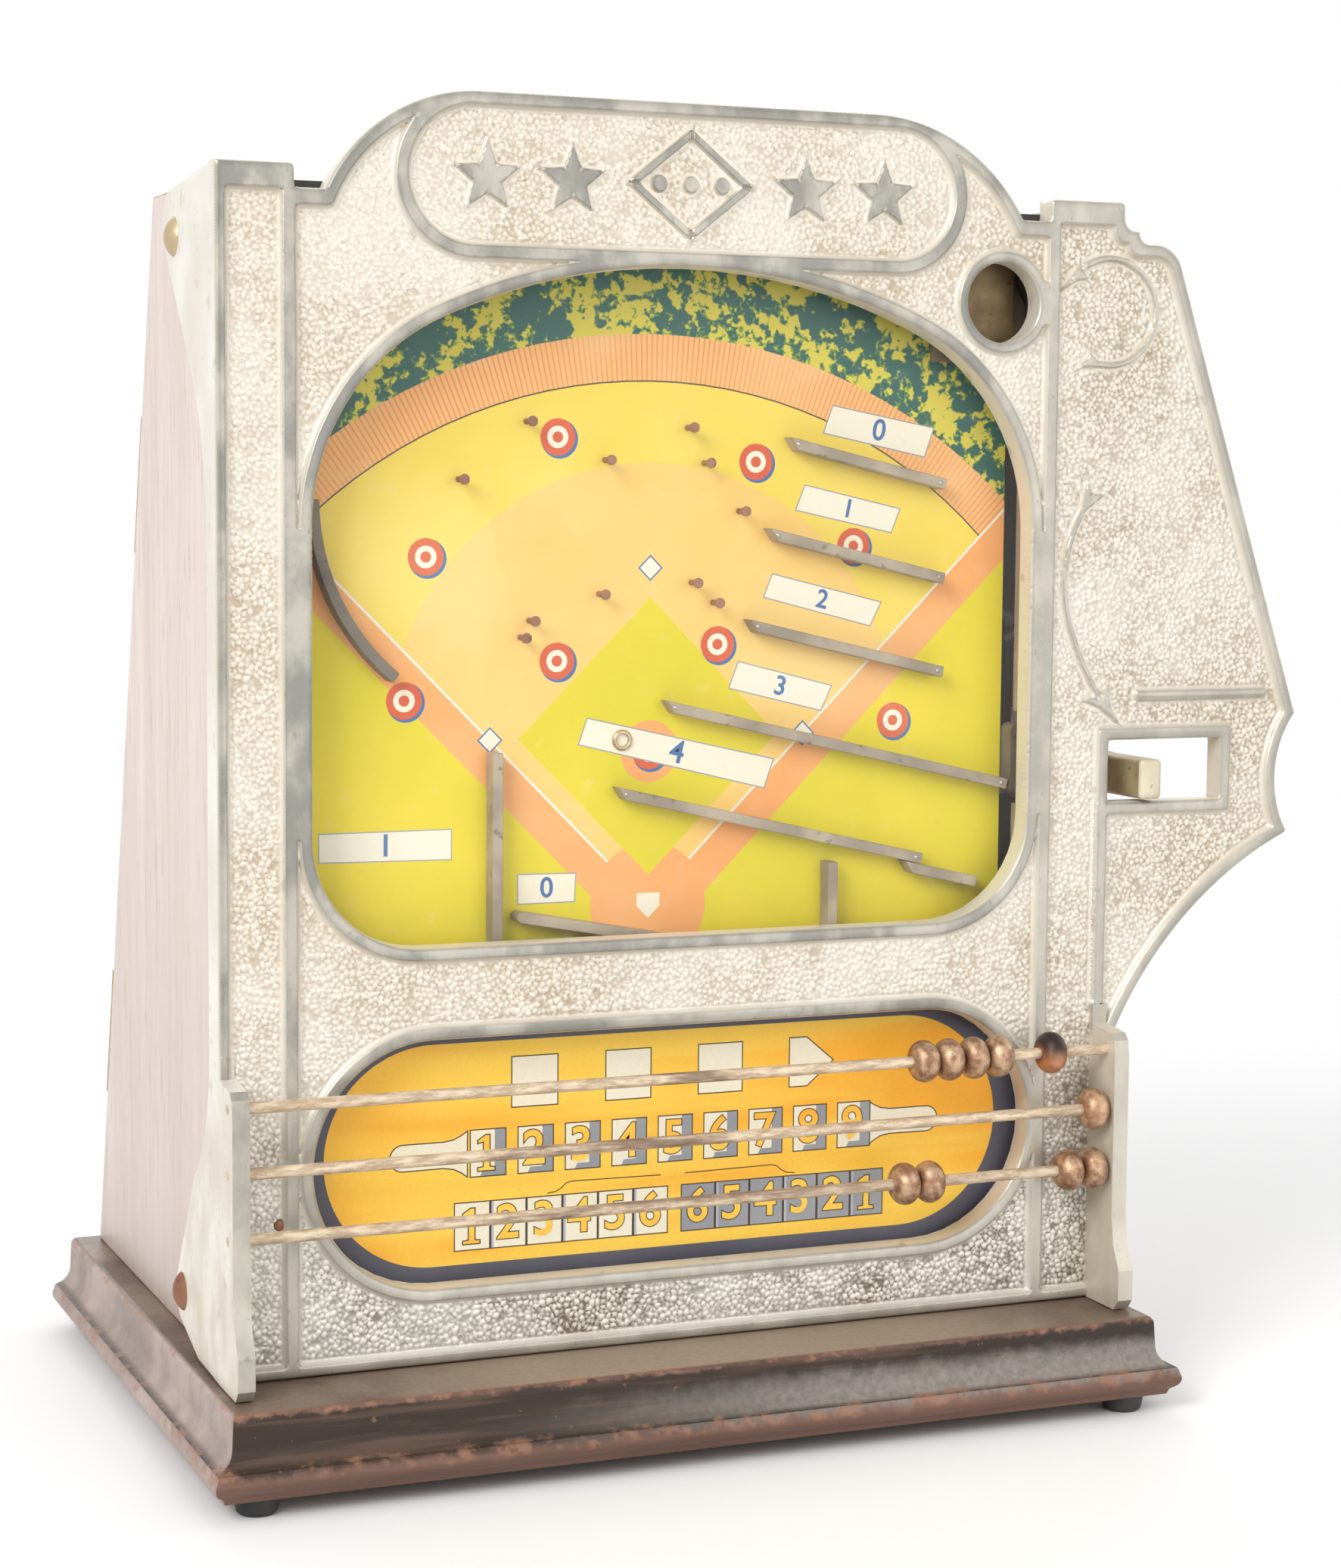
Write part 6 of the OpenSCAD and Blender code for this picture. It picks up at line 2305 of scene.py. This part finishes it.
@dataclass
class LeverWork:
    """The lever, its bat, spring and pivot."""

    bar_front: float = -0.9
    wire: float = 1.2
    coil: float = 8.0
    curls: int = 14
    eye: float = 1.6

    def build(self, shop: Workshop) -> None:
        """Dresses the pieces of the lever and winds the spring."""
        bar = shop.soften("finger_bar", [Finishes.BAR_SIDE], 1.3, 4)
        shop.repaint(bar, Finishes.BONE, lambda p: p[1] < self.bar_front)
        for node in ("lever_arm", "pivot_bracket", "pivot_stud", "spring_post"):
            shop.soften(node, [Finishes.STEEL], 0.25)
        shop.soften("bat", [Finishes.DARK_RAIL], 0.25)
        shop.soften("arm_stop", [Finishes.RUBBER], 0.4)
        self._spring(shop)

    def _spring(self, shop: Workshop) -> None:
        """Winds the spring, with an eye at each end, at the post and at the arm."""
        low, high = shop.box_of("return_spring")
        y, z = (low[1] + high[1]) / 2, (low[2] + high[2]) / 2
        radius, eye = (self.coil - self.wire) / 2, self.eye
        start, end = low[0] + 2 * eye + self.wire, high[0] - 2 * eye - self.wire
        loop = [(eye * math.cos(a), eye * math.sin(a)) for a in np.radians(np.linspace(-180, 150, 12))]
        post = [(low[0] + self.wire / 2 + eye - x, y, z + up) for x, up in reversed(loop)]
        arm = [(high[0] - self.wire / 2 - eye + x, y, z + up) for x, up in loop]
        coils = []
        for t in np.linspace(0, 1, self.curls * 20 + 1):
            r = radius * min(1.0, t * self.curls * 1.5, (1 - t) * self.curls * 1.5)
            a = 2 * math.pi * self.curls * t
            coils.append((start + (end - start) * t, y + r * math.sin(a), z + r * math.cos(a)))
        obj = sweep(shop, "return_spring_wound", post + coils + arm, self.wire / 2, Finishes.STEEL)
        ends = shop.face.to_part([(start, y, z), (end, y, z)])
        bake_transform(obj)
        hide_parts("return_spring")
        count = len(obj.data.polygons)
        LOG.info("%s: %d faces from %s to %s", obj.name, count, Body.CABINET.value, Body.LEVER.value)


@dataclass
class BackDoor:
    """The door, its hinges and its lock."""

    def build(self, shop: Workshop) -> None:
        """Dresses the pieces of the door."""
        shop.soften("back_door", [Finishes.MAHOGANY, Finishes.PANEL_EDGE], 0.7, 2)
        for node in ("hinge_fixed_leaves", "hinge_door_leaves", "lock_barrel"):
            shop.soften(node, [Finishes.BRASS], 0.2)
        for node in ("hinge_pins", "lock_cam", "cam_screw"):
            shop.soften(node, [Finishes.STEEL], 0.15)


@dataclass
class Studio:
    """The camera, the lamps, the floor and the white surround."""

    eye: Triple = (-322.9, -769.3, 232.3)
    yaw: float = 22.387
    pitch: float = 5.418
    roll: float = -0.467
    lens: float = 71.33

    def build(self, face: FaceFrame) -> None:
        """Sets up the studio."""
        self._camera(face)
        self._lamps()
        self._floor()
        self._world()
        bpy.context.scene.view_settings.view_transform = "Standard"

    def _camera(self, face: FaceFrame) -> None:
        """Puts the camera where the photograph was taken from."""
        yaw, pitch, roll = (math.radians(a) for a in (self.yaw, self.pitch, self.roll))
        forward = Vector((math.sin(yaw) * math.cos(pitch), math.cos(yaw) * math.cos(pitch), -math.sin(pitch)))
        right = Vector((math.cos(yaw), -math.sin(yaw), 0.0))
        down = forward.cross(right)
        across = math.cos(roll) * right + math.sin(roll) * down
        below = -math.sin(roll) * right + math.cos(roll) * down
        data = bpy.data.cameras.new("camera")
        data.lens = self.lens
        data.sensor_width = 36.0
        camera = bpy.data.objects.new("camera", data)
        turn = Matrix((across, -below, -forward)).transposed().to_4x4()
        camera.matrix_world = Matrix.Translation(face.to_part(self.eye)) @ turn
        bpy.context.scene.collection.objects.link(camera)
        bpy.context.scene.camera = camera

    @staticmethod
    def _lamps() -> None:
        """Hangs large soft lamps in front and above."""
        for name, spot, size, power in (
            ("key_lamp", (-1.25, -0.95, 1.1), 0.9, 23.5),
            ("fill_lamp", (0.55, -1.6, 0.45), 1.2, 7.2),
            ("right_lamp", (1.6, 0.1, 0.8), 1.2, 7.0),
            ("back_lamp", (0.4, 1.7, 1.0), 1.4, 12.0),
        ):
            data = bpy.data.lights.new(name, "AREA")
            data.size = size
            data.energy = power
            lamp = bpy.data.objects.new(name, data)
            lamp.location = spot
            lamp.rotation_mode = "QUATERNION"
            lamp.rotation_quaternion = (Vector((0, 0, 0.17)) - Vector(spot)).to_track_quat("-Z", "Y")
            bpy.context.scene.collection.objects.link(lamp)

    @staticmethod
    def _floor() -> None:
        """Lays a pale floor that keeps the shadow and fades into the white surround."""
        mesh = bpy.data.meshes.new("studio_floor")
        corners = [(x, z, 0) for x, z in box(-2.0, 2.0, -2.0, 2.0)]
        mesh.from_pydata(corners, [], [(0, 1, 2, 3)])
        material = bpy.data.materials.new("studio_floor")
        material.use_nodes = True
        s = Shader(material.node_tree)
        reach = s.add("VectorMath", operation="LENGTH")
        s.put(reach.inputs[0], s.coords())
        fade = s.ramp(reach.outputs["Value"], 1.0, 0.3)
        surface = node_of(material.node_tree, "BSDF_PRINCIPLED")
        s.fill(surface, Base_Color=(0.9, 0.9, 0.9), Roughness=0.9, Alpha=fade)
        mesh.materials.append(material)
        floor = bpy.data.objects.new("studio_floor", mesh)
        bpy.context.scene.collection.objects.link(floor)

    @staticmethod
    def _world() -> None:
        """Surrounds the stage with white that lights it softly, more from above than from below."""
        world = bpy.data.worlds.new("studio_world")
        world.use_nodes = True
        s = Shader(world.node_tree)
        path = s.add("LightPath").outputs
        seen = s.math("MAXIMUM", path["Is Camera Ray"], path["Is Transmission Ray"])
        seen = s.math("MAXIMUM", seen, path["Is Glossy Ray"])
        up = s.parts(s.add("TexCoord").outputs["Generated"])["Z"]
        soft = s.scaled(s.ramp(up, -0.4, 0.8), 0.37, 0.27)
        background = node_of(world.node_tree, "BACKGROUND")
        s.fill(background, Color=(1.0, 1.0, 1.0), Strength=s.math("MAXIMUM", seen, soft))
        bpy.context.scene.world = world


def main() -> None:
    """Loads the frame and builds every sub-assembly."""
    logging.basicConfig(level=logging.INFO, format="%(name)s: %(message)s")
    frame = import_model()
    face = FaceFrame.from_cad()
    shop = Workshop(frame["nodes"], frame["record"], face)
    Studio().build(face)
    for part in (FrontCasting(), Playfield(), ScoreCard(), ScoreRods(), Cabinet(), LeverWork(), BackDoor()):
        part.build(shop)
        LOG.info("built %s", type(part).__name__)
    bpy.context.view_layer.update()


if __name__ == "__main__":
    main()
